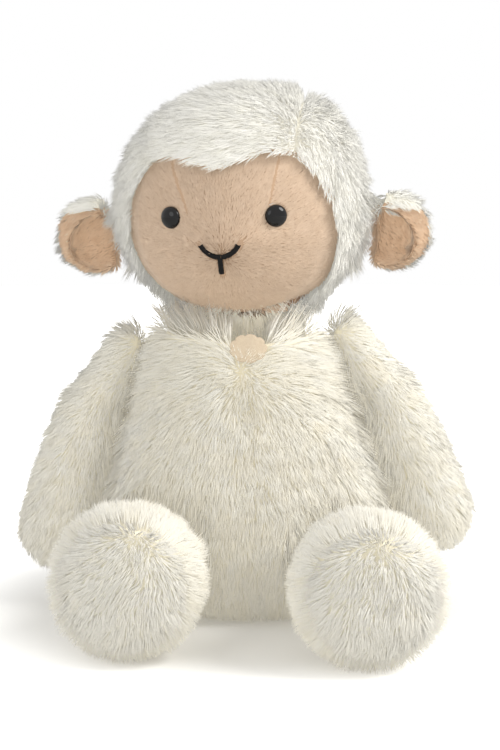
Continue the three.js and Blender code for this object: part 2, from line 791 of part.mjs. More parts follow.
function tailPieces() {
  const outline = new THREE.Path();
  outline.moveTo(0, tailRoot - tailLength);
  outline.bezierCurveTo(
    0.8 * tailHalfWidth, tailRoot - tailLength,
    tailHalfWidth, tailRoot - 0.7 * tailLength,
    0.9 * tailHalfWidth, tailRoot - 0.5 * tailLength,
  );
  outline.bezierCurveTo(
    0.8 * tailHalfWidth, tailRoot - 0.2 * tailLength,
    0.6 * tailHalfWidth, tailRoot,
    0, tailRoot,
  );
  const whole = stuffedForm({ outline, depthShare: () => tailHalfDepth / tailHalfWidth }, armFacets);
  const back = stuffedForm(torsoForm, torsoFacets, sweepClearance);
  const passes = [0, tailLiftLimit].map((lift) => {
    const lifted = frameAt(0, 0, 0, [lift, 0, 0], tailFrame);
    return seenFrom(lifted, back, world);
  });
  return { tail: passes.reduce((left, pass) => left.subtract(pass), whole) };
}

// Materials

const fabric = (color) => new THREE.MeshStandardMaterial({ color, roughness: 0.95, metalness: 0 });
const plastic = (color, roughness) => new THREE.MeshStandardMaterial({ color, roughness, metalness: 0 });
const creamFur = fabric(0xefece0);
const whiteWool = fabric(0xf1f0e8);
const peachPlush = fabric(0xe0bf9c);
const peachFelt = fabric(0xead8bc);
const fibreFilling = fabric(0xf6f6f4);
const beanBagCloth = fabric(0xe8e6dd);
const blackThread = fabric(0x0d0d0d);
const blackPlastic = plastic(0x0b0a0a, 0.12);
const washerPlastic = plastic(0xdedede, 0.4);

function materialFor(name) {
  if (name.includes("filling")) return fibreFilling;
  if (name.includes("washer")) return washerPlastic;
  if (name.startsWith("eye")) return blackPlastic;
  if (name.startsWith("face") || name.includes("lining")) return peachPlush;
  if (name.startsWith("wool")) return whiteWool;
  const own = { mouth_stitch: blackThread, chest_patch: peachFelt, seat_bean_bag: beanBagCloth };
  return own[name] ?? creamFur;
}

// A group at a joint, holding the pieces that were made in that joint's frame
function group(frame, pieces, parentFrame = world) {
  const made = new THREE.Group();
  const local = parentFrame.clone().invert().multiply(frame);
  local.decompose(made.position, made.quaternion, made.scale);
  for (const [name, solid] of Object.entries(pieces)) {
    const mesh = new THREE.Mesh(geometryOf(solid), materialFor(name));
    mesh.name = name;
    made.add(mesh);
  }
  return made;
}

const sheep = group(world, torsoPieces());
const neck = group(neckFrame, { neck_filling: ball(neckRadius, headInnerFacets) });
const head = group(headFrame, headPieces(), neckFrame);
sheep.add(neck, group(tailFrame, tailPieces()));
neck.add(head);
for (const [name, side] of Object.entries(sides)) {
  sheep.add(group(armFrame(side), armPieces(name, side)));
  sheep.add(group(legFrame(side), legPieces(name, side)));
  head.add(group(earFrame(side), earPieces(name, side), headFrame));
}

export default sheep;
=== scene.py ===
"""Seated plush sheep: stuffed forms of pile fabric with their fur, eyes, mouth and chest patch.

Metres, +Z up. The sheep faces -Y, and its own left side is +X. Every stuffed form is the backing of its
fabric, filled out between its seams. The fur is hair by hair in its own pieces, one for each panel.
"""

from __future__ import annotations

import json
import logging
import math
from dataclasses import dataclass, field
from enum import Enum
from functools import cache
from typing import Callable, Iterable

import bmesh
import bpy
import numpy as np
from mathutils import Matrix, Vector
from mathutils.bvhtree import BVHTree
from mathutils.kdtree import KDTree

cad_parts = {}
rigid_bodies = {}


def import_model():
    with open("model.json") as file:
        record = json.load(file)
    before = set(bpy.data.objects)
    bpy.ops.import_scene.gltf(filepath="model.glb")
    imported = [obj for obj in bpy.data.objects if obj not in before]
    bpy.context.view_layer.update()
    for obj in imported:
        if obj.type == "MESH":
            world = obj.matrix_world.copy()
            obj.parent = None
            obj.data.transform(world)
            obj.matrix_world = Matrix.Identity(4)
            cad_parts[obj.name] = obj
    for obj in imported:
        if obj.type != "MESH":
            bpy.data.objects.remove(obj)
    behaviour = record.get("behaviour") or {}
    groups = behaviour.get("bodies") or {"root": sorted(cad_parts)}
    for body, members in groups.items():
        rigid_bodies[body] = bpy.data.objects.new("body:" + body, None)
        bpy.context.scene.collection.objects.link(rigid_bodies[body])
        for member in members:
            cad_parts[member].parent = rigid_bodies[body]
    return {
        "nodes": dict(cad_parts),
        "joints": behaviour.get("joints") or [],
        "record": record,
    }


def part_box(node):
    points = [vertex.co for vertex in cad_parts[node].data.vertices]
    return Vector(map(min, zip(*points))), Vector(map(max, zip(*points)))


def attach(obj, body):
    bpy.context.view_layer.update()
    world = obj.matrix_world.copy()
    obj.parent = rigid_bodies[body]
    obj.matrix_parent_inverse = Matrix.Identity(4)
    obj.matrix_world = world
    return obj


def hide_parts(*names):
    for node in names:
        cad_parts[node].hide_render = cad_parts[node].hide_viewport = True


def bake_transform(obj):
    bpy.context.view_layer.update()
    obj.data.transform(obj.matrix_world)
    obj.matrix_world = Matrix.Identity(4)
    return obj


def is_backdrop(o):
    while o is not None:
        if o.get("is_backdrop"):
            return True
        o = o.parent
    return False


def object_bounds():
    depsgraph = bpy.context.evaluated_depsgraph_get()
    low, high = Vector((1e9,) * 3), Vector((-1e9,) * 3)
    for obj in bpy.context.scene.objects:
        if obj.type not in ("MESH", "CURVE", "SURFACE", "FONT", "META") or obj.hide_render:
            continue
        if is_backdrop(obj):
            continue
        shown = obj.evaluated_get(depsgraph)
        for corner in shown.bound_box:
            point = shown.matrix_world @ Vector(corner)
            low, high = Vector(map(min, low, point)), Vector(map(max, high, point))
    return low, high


LOG = logging.getLogger("sheep")
MM = 0.001
WELD = 0.001 * MM
HAIR_MAP = "Hair"
BAKE_MAP = "OFBake"
WHITE = (1.0, 1.0, 1.0, 1.0)
NUMBER, COLOUR, VECTOR = "NodeSocketFloat", "NodeSocketColor", "NodeSocketVector"

Points = np.ndarray
Shade = tuple[int, int, int]
Piece = bpy.types.Object
Mesh = bpy.types.Mesh
Material = bpy.types.Material
Tree = bpy.types.NodeTree
Socket = bpy.types.NodeSocket


class Side(Enum):
    """A side of the sheep, and which way along X it is."""

    LEFT = 1
    RIGHT = -1

    @property
    def word(self) -> str:
        """The side's word in the names of pieces."""
        return self.name.lower()


# Helpers for meshes


def unit(vectors: Points) -> Points:
    """Vectors scaled to length one, with the very short ones left short."""
    return vectors / np.maximum(np.linalg.norm(vectors, axis=-1, keepdims=True), 1e-12)


def reach(points: Points, place: Vector, way: Vector) -> Points:
    """How far along a way each point lies from a place."""
    return (points - np.array(place)) @ np.array(way)


def read(items: bpy.types.bpy_prop_collection, word: str, width: int, kind: type = float) -> Points:
    """Reads one property of many items.

    Args:
        items: The items, such as a mesh's vertices.
        word: The property.
        width: How many numbers each item has.
        kind: The kind of number.

    Returns:
        One item to a row.
    """
    values = np.empty(width * len(items), kind)
    items.foreach_get(word, values)
    return values.reshape(-1, width)


def arrays_of(mesh: Mesh) -> tuple[Points, Points]:
    """A mesh's vertices, and its triangles as vertex numbers, one to a row."""
    mesh.calc_loop_triangles()
    return read(mesh.vertices, "co", 3), read(mesh.loop_triangles, "vertices", 3, np.int32)


def vertex_normals(mesh: Mesh) -> Points:
    """The normals of a mesh's vertices, one to a row."""
    return read(mesh.vertex_normals, "vector", 3, np.float32).astype(float)


def place_vertices(mesh: Mesh, points: Points) -> None:
    """Moves all vertices of a mesh to new places, one to a row."""
    mesh.vertices.foreach_set("co", points.astype(np.float32).ravel())
    mesh.update()


def new_object(name: str, mesh: Mesh) -> Piece:
    """Puts a mesh in the scene.

    Args:
        name: The object's name, which the mesh takes too.
        mesh: The mesh.

    Returns:
        The new object, at the origin.
    """
    mesh.name = name
    made = bpy.data.objects.new(name, mesh)
    bpy.context.scene.collection.objects.link(made)
    return made


def object_from(name: str, bm: bmesh.types.BMesh) -> Piece:
    """Makes a smooth object of a finished bmesh and frees it.

    Args:
        name: The object's name.
        bm: The bmesh.

    Returns:
        The new object.
    """
    mesh = bpy.data.meshes.new(name)
    bm.to_mesh(mesh)
    bm.free()
    mesh.shade_smooth()
    return new_object(name, mesh)


def apply_modifiers(made: Piece) -> None:
    """Turns what an object's modifiers make into its mesh.

    Args:
        made: The object, which is left without modifiers.
    """
    graph = bpy.context.evaluated_depsgraph_get()
    graph.update()
    mesh = bpy.data.meshes.new_from_object(made.evaluated_get(graph))
    made.modifiers.clear()
    old, made.data = made.data, mesh
    mesh.name = old.name
    bpy.data.meshes.remove(old)


def set_material(made: Piece, material: Material) -> None:
    """Gives an object one material in all its slots.

    Args:
        made: The object.
        material: The material.
    """
    if not made.data.materials:
        made.data.materials.append(material)
    for slot in made.material_slots:
        slot.material = material


def settle(made: Piece, finish: Material | None, slot: str, *bodies: str | Vector) -> None:
    """Gives a piece its finish, and puts it on its body or bakes its transform into its mesh.

    Args:
        made: The piece.
        finish: Its finish, or None where it is dressed already.
        slot: Not used.
        bodies: Its body, or its two bodies and the ends of a blend, which only bake its transform into its
            mesh.
    """
    if finish:
        set_material(made, finish)
    if len(bodies) == 1:
        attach(made, *bodies)
    else:
        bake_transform(made)


# Helpers for materials


def linear(shade: Shade) -> tuple[float, float, float, float]:
    """Turns a colour as a screen shows it into the linear one that shaders take.

    Args:
        shade: Red, green and blue, from 0 to 255.

    Returns:
        The linear colour, with a full alpha.
    """
    shares = [value / 255 for value in shade]
    return (*(s / 12.92 if s <= 0.04045 else ((s + 0.055) / 1.055) ** 2.4 for s in shares), 1.0)


def feed(tree: Tree, node: bpy.types.Node, inputs: dict[str | int, object]) -> None:
    """Feeds a node.

    Args:
        tree: The node tree.
        node: The node.
        inputs: For each input its value, or the output that it is linked to.
    """
    for key, value in inputs.items():
        if isinstance(value, Socket):
            tree.links.new(value, node.inputs[key])
        else:
            node.inputs[key].default_value = value


def add_node(
    tree: Tree, kind: str, inputs: dict[str | int, object], **settings: object
) -> bpy.types.bpy_prop_collection:
    """Adds a node.

    Args:
        tree: The node tree.
        kind: The node's type.
        inputs: What its inputs are fed.
        settings: Its other settings.

    Returns:
        Its outputs.
    """
    node = tree.nodes.new(kind)
    for word, value in settings.items():
        setattr(node, word, value)
    feed(tree, node, inputs)
    return node.outputs


def mix(tree: Tree, share: Socket, low: Socket, high: Socket) -> Socket:
    """Mixes two colours: the low one where the share is 0, and the high one where it is 1."""
    return add_node(tree, "ShaderNodeMix", {0: share, 6: low, 7: high}, data_type="RGBA")[2]


def own_place(tree: Tree) -> Socket:
    """The place on the object."""
    return add_node(tree, "ShaderNodeTexCoord", {})["Object"]


def bump(tree: Tree, height: Socket, strength: float, depth: float) -> Socket:
    """Turns a height into a bumped normal."""
    relief = {"Height": height, "Strength": strength, "Distance": depth}
    return add_node(tree, "ShaderNodeBump", relief)["Normal"]


def principled(name: str) -> tuple[Material, Tree, bpy.types.Node]:
    """Starts a material.

    Args:
        name: The material's name.

    Returns:
        The material, its node tree and its Principled shader.
    """
    material = bpy.data.materials.new(name)
    material.use_nodes = True
    return material, material.node_tree, material.node_tree.nodes["Principled BSDF"]


def new_group(name: str, inputs: dict[str, str], outputs: dict[str, str]) -> Tree:
    """Starts a shader node group.

    Args:
        name: The group's name.
        inputs: The socket type of each input.
        outputs: The socket type of each output.

    Returns:
        The group, with its input and output nodes made and named.
    """
    group = bpy.data.node_groups.new(name, "ShaderNodeTree")
    for way, sockets in (("INPUT", inputs), ("OUTPUT", outputs)):
        for word, kind in sockets.items():
            group.interface.new_socket(name=word, in_out=way, socket_type=kind)
    group.nodes.new("NodeGroupInput").name = "In"
    group.nodes.new("NodeGroupOutput").name = "Out"
    return group


def hair_colour_group() -> Tree:
    """Colours a hair by its own tint and by the height along it, with painted shade at its root.

    Returns:
        The group. Tint 0 is the cool tip and 1 the warm one, and the root colour, painted shade deep in the
        pile, fades out at Root Reach.
    """
    inputs = dict.fromkeys(("Tint", "Along", "Root Reach"), NUMBER)
    inputs |= dict.fromkeys(("Root", "Cool", "Warm"), COLOUR)
    group = new_group("hair_colour", inputs, {"Color": COLOUR})
    given = group.nodes["In"].outputs
    tip = mix(group, given["Tint"], given["Cool"], given["Warm"])
    range_of = {"Value": given["Along"], "From Max": given["Root Reach"]}
    height = add_node(group, "ShaderNodeMapRange", range_of, interpolation_type="SMOOTHSTEP")["Result"]
    # Painted shade: the darker, warmer root colour stands for the shade deep in the pile.
    feed(group, group.nodes["Out"], {"Color": mix(group, height, given["Root"], tip)})
    return group


def cloth_group() -> Tree:
    """Knit or woven cloth: rows of loops as a height, and a colour that is darker between them, as painted
    shade.

    Returns:
        The group, which reads a vector in metres and puts out Color and Height.
    """
    inputs = {"Vector": VECTOR, "Pitch": NUMBER, "High": COLOUR, "Low": COLOUR}
    group = new_group("cloth", inputs, {"Color": COLOUR, "Height": NUMBER})
    given = group.nodes["In"].outputs
    rows = {"Vector": given["Vector"], "Scale": given["Pitch"], "Distortion": 1.5, "Detail Scale": 2.0}
    across, down = (add_node(group, "ShaderNodeTexWave", rows, bands_direction=way)["Fac"] for way in "XZ")
    height = add_node(group, "ShaderNodeMath", {0: across, 1: down}, operation="MULTIPLY")["Value"]
    # Painted shade: the hollow shade is mixed in where the loops lie low.
    colour = mix(group, height, given["Low"], given["High"])
    feed(group, group.nodes["Out"], {"Color": colour, "Height": height})
    return group


# Finishes


@dataclass(frozen=True)
class HairFinish:
    """The finish of one kind of fur, hair by hair."""

    name: str
    # root is painted shade: darker and warmer than the tips, for the shade near the backing.
    root: Shade
    cool: Shade
    warm: Shade
    # glow is painted light: the hair gives off its own colour, which lifts the shade between the hairs.
    glow: float = 0.2
    root_reach: float = 0.4
    roughness: float = 0.92
    specular: float = 0.15
    sheen: float = 0.25
    sheen_roughness: float = 0.6

    def material(self, group: Tree) -> Material:
        """Makes the material.

        Args:
            group: The node group that colours a hair.

        Returns:
            The material, which reads each hair's tint and height from its own map.
        """
        material, tree, shader = principled(self.name)
        place = add_node(tree, "ShaderNodeUVMap", {}, uv_map=HAIR_MAP)["UV"]
        split = add_node(tree, "ShaderNodeSeparateXYZ", {"Vector": place})
        shades = {"Root": linear(self.root), "Cool": linear(self.cool), "Warm": linear(self.warm)}
        own = {"Tint": split["X"], "Along": split["Y"], "Root Reach": self.root_reach}
        colour = add_node(tree, "ShaderNodeGroup", shades | own, node_tree=group)["Color"]
        # The emission is painted light, which brightens the shaded depths of the pile.
        feed(tree, shader, {
            "Base Color": colour,
            "Emission Color": colour,
            "Emission Strength": self.glow,
            "Roughness": self.roughness,
            "Specular IOR Level": self.specular,
            "Sheen Weight": self.sheen,
            "Sheen Roughness": self.sheen_roughness,
        })
        return material


@dataclass(frozen=True)
class ClothFinish:
    """The finish of a knit or woven cloth, such as the backing of a pile fabric."""

    name: str
    high: Shade
    # low is painted shade, in the hollows between the loops.
    low: Shade
    # glow is painted light: the cloth gives off its own colour, which brightens the backing where it shows in
    # the gaps and creases of the pile.
    glow: float = 0.0
    pitch: float = 900.0
    bump: float = 0.35
    bump_depth: float = 0.3 * MM
    roughness: float = 0.95
    sheen: float = 0.2

    def material(self, group: Tree) -> Material:
        """Makes the material.

        Args:
            group: The node group of cloth.

        Returns:
            The material.
        """
        material, tree, shader = principled(self.name)
        shades = {"High": linear(self.high), "Low": linear(self.low)}
        own = {"Vector": own_place(tree), "Pitch": self.pitch}
        cloth = add_node(tree, "ShaderNodeGroup", shades | own, node_tree=group)
        # The emission is painted light on the backing.
        feed(tree, shader, {
            "Base Color": cloth["Color"],
            "Emission Color": cloth["Color"],
            "Emission Strength": self.glow,
            "Normal": bump(tree, cloth["Height"], self.bump, self.bump_depth),
            "Roughness": self.roughness,
            "Sheen Weight": self.sheen,
        })
        return material


@dataclass(frozen=True)
class FibreFinish:
    """The finish of loose matted fibre: the filling, and felt."""

    name: str
    high: Shade
    low: Shade
    scale: float = 180.0
    bump: float = 0.6
    bump_depth: float = 0.25 * MM
    detail: float = 8.0
    twist: float = 1.2
    stops: tuple[float, float] = (0.35, 0.62)
    roughness: float = 0.95
    sheen: float = 0.3

    def material(self) -> Material:
        """Makes the material.

        Returns:
            The material, with wisps drawn by twisted noise.
        """
        material, tree, shader = principled(self.name)
        noise = {"Scale": self.scale, "Detail": self.detail, "Distortion": self.twist}
        wisps = add_node(tree, "ShaderNodeTexNoise", noise | {"Vector": own_place(tree)})["Fac"]
        ramp = tree.nodes.new("ShaderNodeValToRGB")
        for element, stop, shade in zip(ramp.color_ramp.elements, self.stops, (self.low, self.high)):
            element.position, element.color = stop, linear(shade)
        feed(tree, ramp, {"Fac": wisps})
        feed(tree, shader, {
            "Base Color": ramp.outputs["Color"],
            "Normal": bump(tree, wisps, self.bump, self.bump_depth),
            "Roughness": self.roughness,
            "Sheen Weight": self.sheen,
        })
        return material


@dataclass(frozen=True)
class PlasticFinish:
    """The finish of a moulded plastic part."""

    name: str
    shade: Shade
    roughness: float
    coat: float = 0.0
    mottle: float = 0.05
    specular: float = 0.5
    coat_roughness: float = 0.04
    smear_scale: float = 220.0
    smear_detail: float = 3.0

    def material(self) -> Material:
        """Makes the material.

        Returns:
            The material, whose gloss varies a little as on a moulding that has been handled.
        """
        material, tree, shader = principled(self.name)
        noise = {"Vector": own_place(tree), "Scale": self.smear_scale, "Detail": self.smear_detail}
        smears = add_node(tree, "ShaderNodeTexNoise", noise)["Fac"]
        gloss = {"Value": smears, "To Min": self.roughness, "To Max": self.roughness + self.mottle}
        feed(tree, shader, {
            "Base Color": linear(self.shade),
            "Roughness": add_node(tree, "ShaderNodeMapRange", gloss)["Result"],
            "Specular IOR Level": self.specular,
            "Coat Weight": self.coat,
            "Coat Roughness": self.coat_roughness,
        })
        return material


class Finishes:
    """All finishes of the sheep, each made once."""

    def __init__(self) -> None:
        """Makes the node groups and the materials."""
        hair, cloth = hair_colour_group(), cloth_group()
        # The last number of each fur and backing finish is its glow, which is painted light.
        self.body = HairFinish(
            "body_fur", (245, 238, 217), (245, 242, 231), (244, 237, 218), 0.18
        ).material(hair)
        # The sole fur is a darker, cooler copy of the body fur: painted shade on the soles.
        self.sole = HairFinish(
            "sole_fur", (238, 232, 216), (237, 234, 224), (238, 232, 214), 0.15
        ).material(hair)
        self.wool = HairFinish(
            "cap_fur", (249, 245, 231), (251, 249, 242), (248, 245, 232), 0.23
        ).material(hair)
        self.face = HairFinish(
            "face_fur", (216, 186, 158), (222, 197, 172), (213, 186, 159), 0.14
        ).material(hair)
        self.lining = HairFinish(
            "ear_lining_fur", (206, 168, 132), (228, 198, 168), (216, 180, 146)
        ).material(hair)
        self.body_backing = ClothFinish(
            "body_backing", (246, 240, 219), (241, 232, 205), 0.28
        ).material(cloth)
        self.cap_backing = ClothFinish(
            "cap_backing", (249, 246, 234), (243, 238, 222), 0.3
        ).material(cloth)
        self.face_backing = ClothFinish(
            "face_backing", (208, 177, 148), (194, 162, 133), 0.12
        ).material(cloth)
        bean_bag = ClothFinish("bean_bag_cloth", (240, 238, 230), (206, 202, 190), pitch=1400.0, bump=0.6)
        self.bean_bag = bean_bag.material(cloth)
        self.filling = FibreFinish("fibre_filling", (250, 250, 249), (226, 226, 224)).material()
        self.felt = FibreFinish("patch_felt", (220, 203, 178), (210, 191, 164), 900.0, 0.35).material()
        self.eye = PlasticFinish("eye_black", (14, 13, 13), 0.04, 0.5, 0.03, 0.1).material()
        self.washer = PlasticFinish("washer_white", (222, 222, 220), 0.35).material()
        self.thread = PlasticFinish("mouth_thread", (20, 19, 19), 0.5, 0.0, 0.2, 0.2).material()


# The fixed frame


class Surface:
    """The outer faces of some fixed nodes, to be searched from a point."""

    def __init__(self, nodes: dict[str, Piece]) -> None:
        """Gathers the nodes.

        Args:
            nodes: The nodes by name.
        """
        parts = [arrays_of(node.data) for node in nodes.values()]
        starts = np.cumsum([0, *(len(points) for points, _ in parts)])
        points = np.concatenate([points for points, _ in parts])
        triangles = np.concatenate([own + start for (_, own), start in zip(parts, starts)])
        self.owners = np.repeat(np.arange(len(parts)), [len(own) for _, own in parts])
        self.tree = BVHTree.FromPolygons(points.tolist(), triangles.tolist())

    def closest(self, points: Points) -> tuple[Points, Points]:
        """Finds the nearest places on the surface.

        Args:
            points: Places, one to a row.

        Returns:
            The nearest places, one to a row, and for each the number of its node, in the order given.
        """
        found = [self.tree.find_nearest(p) for p in points.tolist()]
        return np.array([hit[0] for hit in found]), self.owners[[hit[2] for hit in found]]

    def room(self, points: Points, normals: Points, limit: float) -> Points:
        """Measures how far it is to the surface, straight out from each place.

        Args:
            points: Places, one to a row.
            normals: The way out from each.
            limit: The longest distance to look.

        Returns:
            The free distance from each place, at most the limit.
        """
        hits = [self.tree.ray_cast(*ray, limit)[3] for ray in zip(points.tolist(), normals.tolist())]
        return np.array([limit if distance is None else distance for distance in hits])


class SheepFrame:
    """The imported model: its nodes, bodies and joints."""

    def __init__(self) -> None:
        """Loads the frame and reads the box of the whole object."""
        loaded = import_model()
        self.cad_box = [list(corner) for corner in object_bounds()]
        self.nodes: dict[str, Piece] = loaded["nodes"]
        self.joints = {joint["name"]: joint for joint in loaded["joints"]}
        self.bodies: dict[str, list[str]] = loaded["record"]["behaviour"]["bodies"]

    def joint_place(self, name: str) -> Vector:
        """The point that a joint turns about."""
        return Vector(self.joints[name]["pos_m"])

    def joint_axis(self, name: str) -> Vector:
        """The line that a joint turns about."""
        return Vector(self.joints[name]["axis"]).normalized()

    def points(self, name: str) -> Points:
        """The vertices of a node, one to a row."""
        return arrays_of(self.nodes[name].data)[0]

    def middle(self, name: str) -> Vector:
        """The mean of a node's vertices."""
        return Vector(self.points(name).mean(0))

    def surface(self, names: Iterable[str]) -> Surface:
        """The surface of some nodes."""
        return Surface({name: self.nodes[name] for name in names})

    def beside(self, body: str) -> Surface:
        """The surface of every node that isn't on a body."""
        own = set(self.bodies[body])
        return self.surface(name for name in self.nodes if name not in own)


# Stuffed forms


@dataclass(frozen=True)
class Stuffing:
    """How a form is remeshed and filled out."""

    voxel: float = 3.5 * MM
    rounds: int = 10
    depth_spread: int = 2
    rounds_before: int = 3
    rounds_after: int = 1
    seam_draw: float = 1.6 * MM
    seam_width: int = 2
    seam_hold: float = 0.3
    pressure: float = 4.0
    quality: int = 4
    mass: float = 0.1
    swell_limit: float = 2.5 * MM
    frames: int = 16
    fill: float = 0.85


@dataclass
class StuffedForm:
    """The backing of one stuffed form, drawn in at its seams and filled out between them."""

    name: str
    panels: dict[str, float]
    inner: tuple[str, ...] = ()
    stuffing: Stuffing = Stuffing()

    def build(self, frame: SheepFrame) -> Piece:
        """Makes the backing from the form's fixed nodes.

        Args:
            frame: The fixed frame.

        Returns:
            The backing: one closed smooth mesh, which lies under the surface by each panel's depth of pile.
        """
        names = [*self.panels, *self.inner]
        made = self.remeshed([frame.nodes[name] for name in names])
        points, owner = frame.surface(self.panels).closest(arrays_of(made.data)[0])
        depths = np.array(list(self.panels.values()))[owner]
        edges = read(made.data.edges, "vertices", 2, np.int32)
        beside_seam = np.zeros(len(owner))
        beside_seam[edges[owner[edges[:, 0]] != owner[edges[:, 1]]].ravel()] = 1.0
        seam = self.spread(edges, beside_seam, self.stuffing.seam_width)
        depth = self.spread(edges, depths, self.stuffing.depth_spread)
        depth += self.stuffing.seam_draw * seam
        place_vertices(made.data, points - vertex_normals(made.data) * depth[:, None])
        self.smooth(made, self.stuffing.rounds_before)
        self.fill_out(made, seam)
        self.smooth(made, self.stuffing.rounds_after)
        finer = made.modifiers.new("Smooth skin", "SUBSURF")
        finer.levels = finer.render_levels = 1
        apply_modifiers(made)
        made.data.shade_smooth()
        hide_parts(*names)
        return made

    def dress(self, made: Piece, frame: SheepFrame, finishes: dict[str, Material]) -> None:
        """Gives each panel of the backing its finish.

        Args:
            made: The backing.
            frame: The fixed frame.
            finishes: The finish of each panel, by name.
        """
        materials = list(dict.fromkeys(finishes.values()))
        for material in materials:
            made.data.materials.append(material)
        slots = np.array([materials.index(finishes[name]) for name in self.panels], np.int32)
        owner = frame.surface(self.panels).closest(read(made.data.polygons, "center", 3))[1]
        made.data.polygons.foreach_set("material_index", slots[owner])

    def remeshed(self, nodes: list[Piece]) -> Piece:
        """Copies fixed nodes into one even closed mesh.

        Args:
            nodes: The nodes.

        Returns:
            The new object, with the facets of the nodes smoothed away.
        """
        bm = bmesh.new()
        for node in nodes:
            bm.from_mesh(node.data)
        bmesh.ops.remove_doubles(bm, verts=bm.verts, dist=WELD)
        made = object_from(self.name, bm)
        even = made.modifiers.new("Even", "REMESH")
        even.mode, even.voxel_size = "VOXEL", self.stuffing.voxel
        apply_modifiers(made)
        self.smooth(made, self.stuffing.rounds)
        return made

    @staticmethod
    def smooth(made: Piece, rounds: int) -> None:
        """Smooths an object's mesh.

        Args:
            made: The object.
            rounds: How many times each vertex moves half way to the mean of its neighbours.
        """
        bm = bmesh.new()
        bm.from_mesh(made.data)
        for _ in range(rounds):
            bmesh.ops.smooth_vert(
                bm, verts=bm.verts, factor=0.5, use_axis_x=True, use_axis_y=True, use_axis_z=True
            )
        bm.to_mesh(made.data)
        bm.free()

    @staticmethod
    def spread(edges: Points, values: Points, rounds: int) -> Points:
        """Smooths values over a mesh.

        Args:
            edges: The mesh's edges.
            values: One value to a vertex.
            rounds: How many times a value moves to the mean of itself and its neighbours.

        Returns:
            The smoothed values.
        """
        count = len(values)
        for _ in range(rounds):
            total, number = values.copy(), np.ones(count)
            for a, b in ((0, 1), (1, 0)):
                total += np.bincount(edges[:, a], values[edges[:, b]], count)
                number += np.bincount(edges[:, a], minlength=count)
            values = total / number
        return values

    def fill_out(self, made: Piece, seam: Points) -> None:
        """Fills the form by a cloth simulation, held at its seams.

        Args:
            made: The form, which gets the simulated shape.
            seam: For each vertex how near a seam it is, from 0 to 1.
        """
        rest = arrays_of(made.data)[0]
        held = np.nonzero(seam > self.stuffing.seam_hold)[0].tolist()
        group = made.vertex_groups.new(name="Seams")
        group.add(held, 1.0, "REPLACE")
        cloth = made.modifiers.new("Filling", "CLOTH")
        settings = cloth.settings
        settings.quality, settings.mass = self.stuffing.quality, self.stuffing.mass
        settings.use_pressure = True
        settings.uniform_pressure_force = self.stuffing.pressure
        settings.effector_weights.gravity = 0.0
        if held:
            settings.vertex_group_mass = group.name
        cloth.collision_settings.use_collision = False
        scene = bpy.context.scene
        for number in range(1, self.stuffing.frames + 1):
            scene.frame_set(number)
        filled = made.evaluated_get(bpy.context.evaluated_depsgraph_get())
        move = read(filled.data.vertices, "co", 3) - rest
        length = np.linalg.norm(move, axis=1, keepdims=True)
        move *= np.minimum(1.0, self.stuffing.swell_limit / np.maximum(length, 1e-9))
        LOG.info("%s: swelled by up to %.1f mm", made.name, length.max() / MM)
        made.modifiers.clear()
        made.vertex_groups.clear()
        scene.frame_set(1)
        place_vertices(made.data, rest + move)


# Fur


@dataclass(frozen=True)
class Lay:
    """A stroke of the brush that lays all the pile one way."""

    way: Vector
    strength: float = 1.0

    def push(self, points: Points) -> Points:
        """The same push for every place."""
        return np.tile(np.array(self.way.normalized()) * self.strength, (len(points), 1))


@dataclass(frozen=True)
class Whorl:
    """A stroke away from one place, which fades with the distance from it."""

    centre: Vector
    radius: float = 400 * MM
    strength: float = 1.0
    core: float = 5 * MM

    def push(self, points: Points) -> Points:
        """The push away from the centre.

        Args:
            points: Places, one to a row.

        Returns:
            The push at each place.
        """
        away = points - np.array(self.centre)
        distance = np.linalg.norm(away, axis=1, keepdims=True)
        return away / (distance + self.core) * np.exp(-((distance / self.radius) ** 2)) * self.strength


Stroke = Lay | Whorl


@dataclass(frozen=True)
class Parting:
    """How the pile parts along the seams of its form."""

    width: float = 5 * MM
    strength: float = 0.35
    crease: float = 1.2 * MM
    shorter: float = 0.25
    stand: float = 0.5


@dataclass(frozen=True)
class Ruff:
    """Longer pile that stands up, between two heights and where the form faces up."""

    start: float = 0.0
    end: float = 1.0
    longer: float = 0.0
    stand: float = 0.0
    facing: float = 2.0
    free: float = 0.0

    def share(self, points: Points, normals: Points) -> Points:
        """How far into the ruff each root is, from 0 to 1."""
        t = np.clip((points[:, 2] - self.start) / (self.end - self.start), 0, 1)
        return t * t * (3 - 2 * t) * np.clip(self.facing * normals[:, 2], 0, 1)


@dataclass(frozen=True)
class Pile:
    """The hair of one fabric. Angles are in degrees above the backing."""

    length: float
    thickness: float
    per_mm2: float
    root_lift: float = 70.0
    tip_lift: float = 26.0
    clump: float = 3.6 * MM
    gather: float = 0.26
    wander: float = 11.0
    stray: float = 11.0
    uneven: float = 0.18
    sway: float = 4.0
    softness: float = 0.7
    free_root_lift: float = 90.0
    free_tip_lift: float = 80.0
    swirl: float = 24 * MM
    tuft_turn: float = 0.6
    tuft_uneven: float = 0.6
    own_uneven: float = 0.5
    shortest: float = 0.45
    longest: float = 1.5
    pressed: float = 0.5
    bend_gather: float = 0.45
    tuft_tint: float = 0.16
    own_tint: float = 0.1

    def rise(self) -> float:
        """How high a hair stands, as a share of its length."""
        return (math.sin(math.radians(self.root_lift)) + math.sin(math.radians(self.tip_lift))) / 2


def waves_over(points: Points, wavelength: float, rng: np.random.Generator) -> Points:
    """A smooth value that rises and falls over a surface.

    Args:
        points: Places, one to a row.
        wavelength: How far it is from one rise to the next.
        rng: The source of the waves' ways and phases.

    Returns:
        One value to a place, mostly between -1 and 1.
    """
    waves, level = 6, 2.4
    ways = unit(rng.normal(size=(waves, 3))) * 2 * math.pi / wavelength
    phases = rng.uniform(0, 2 * math.pi, waves)
    return np.sin(points @ ways.T + phases).sum(1) / level


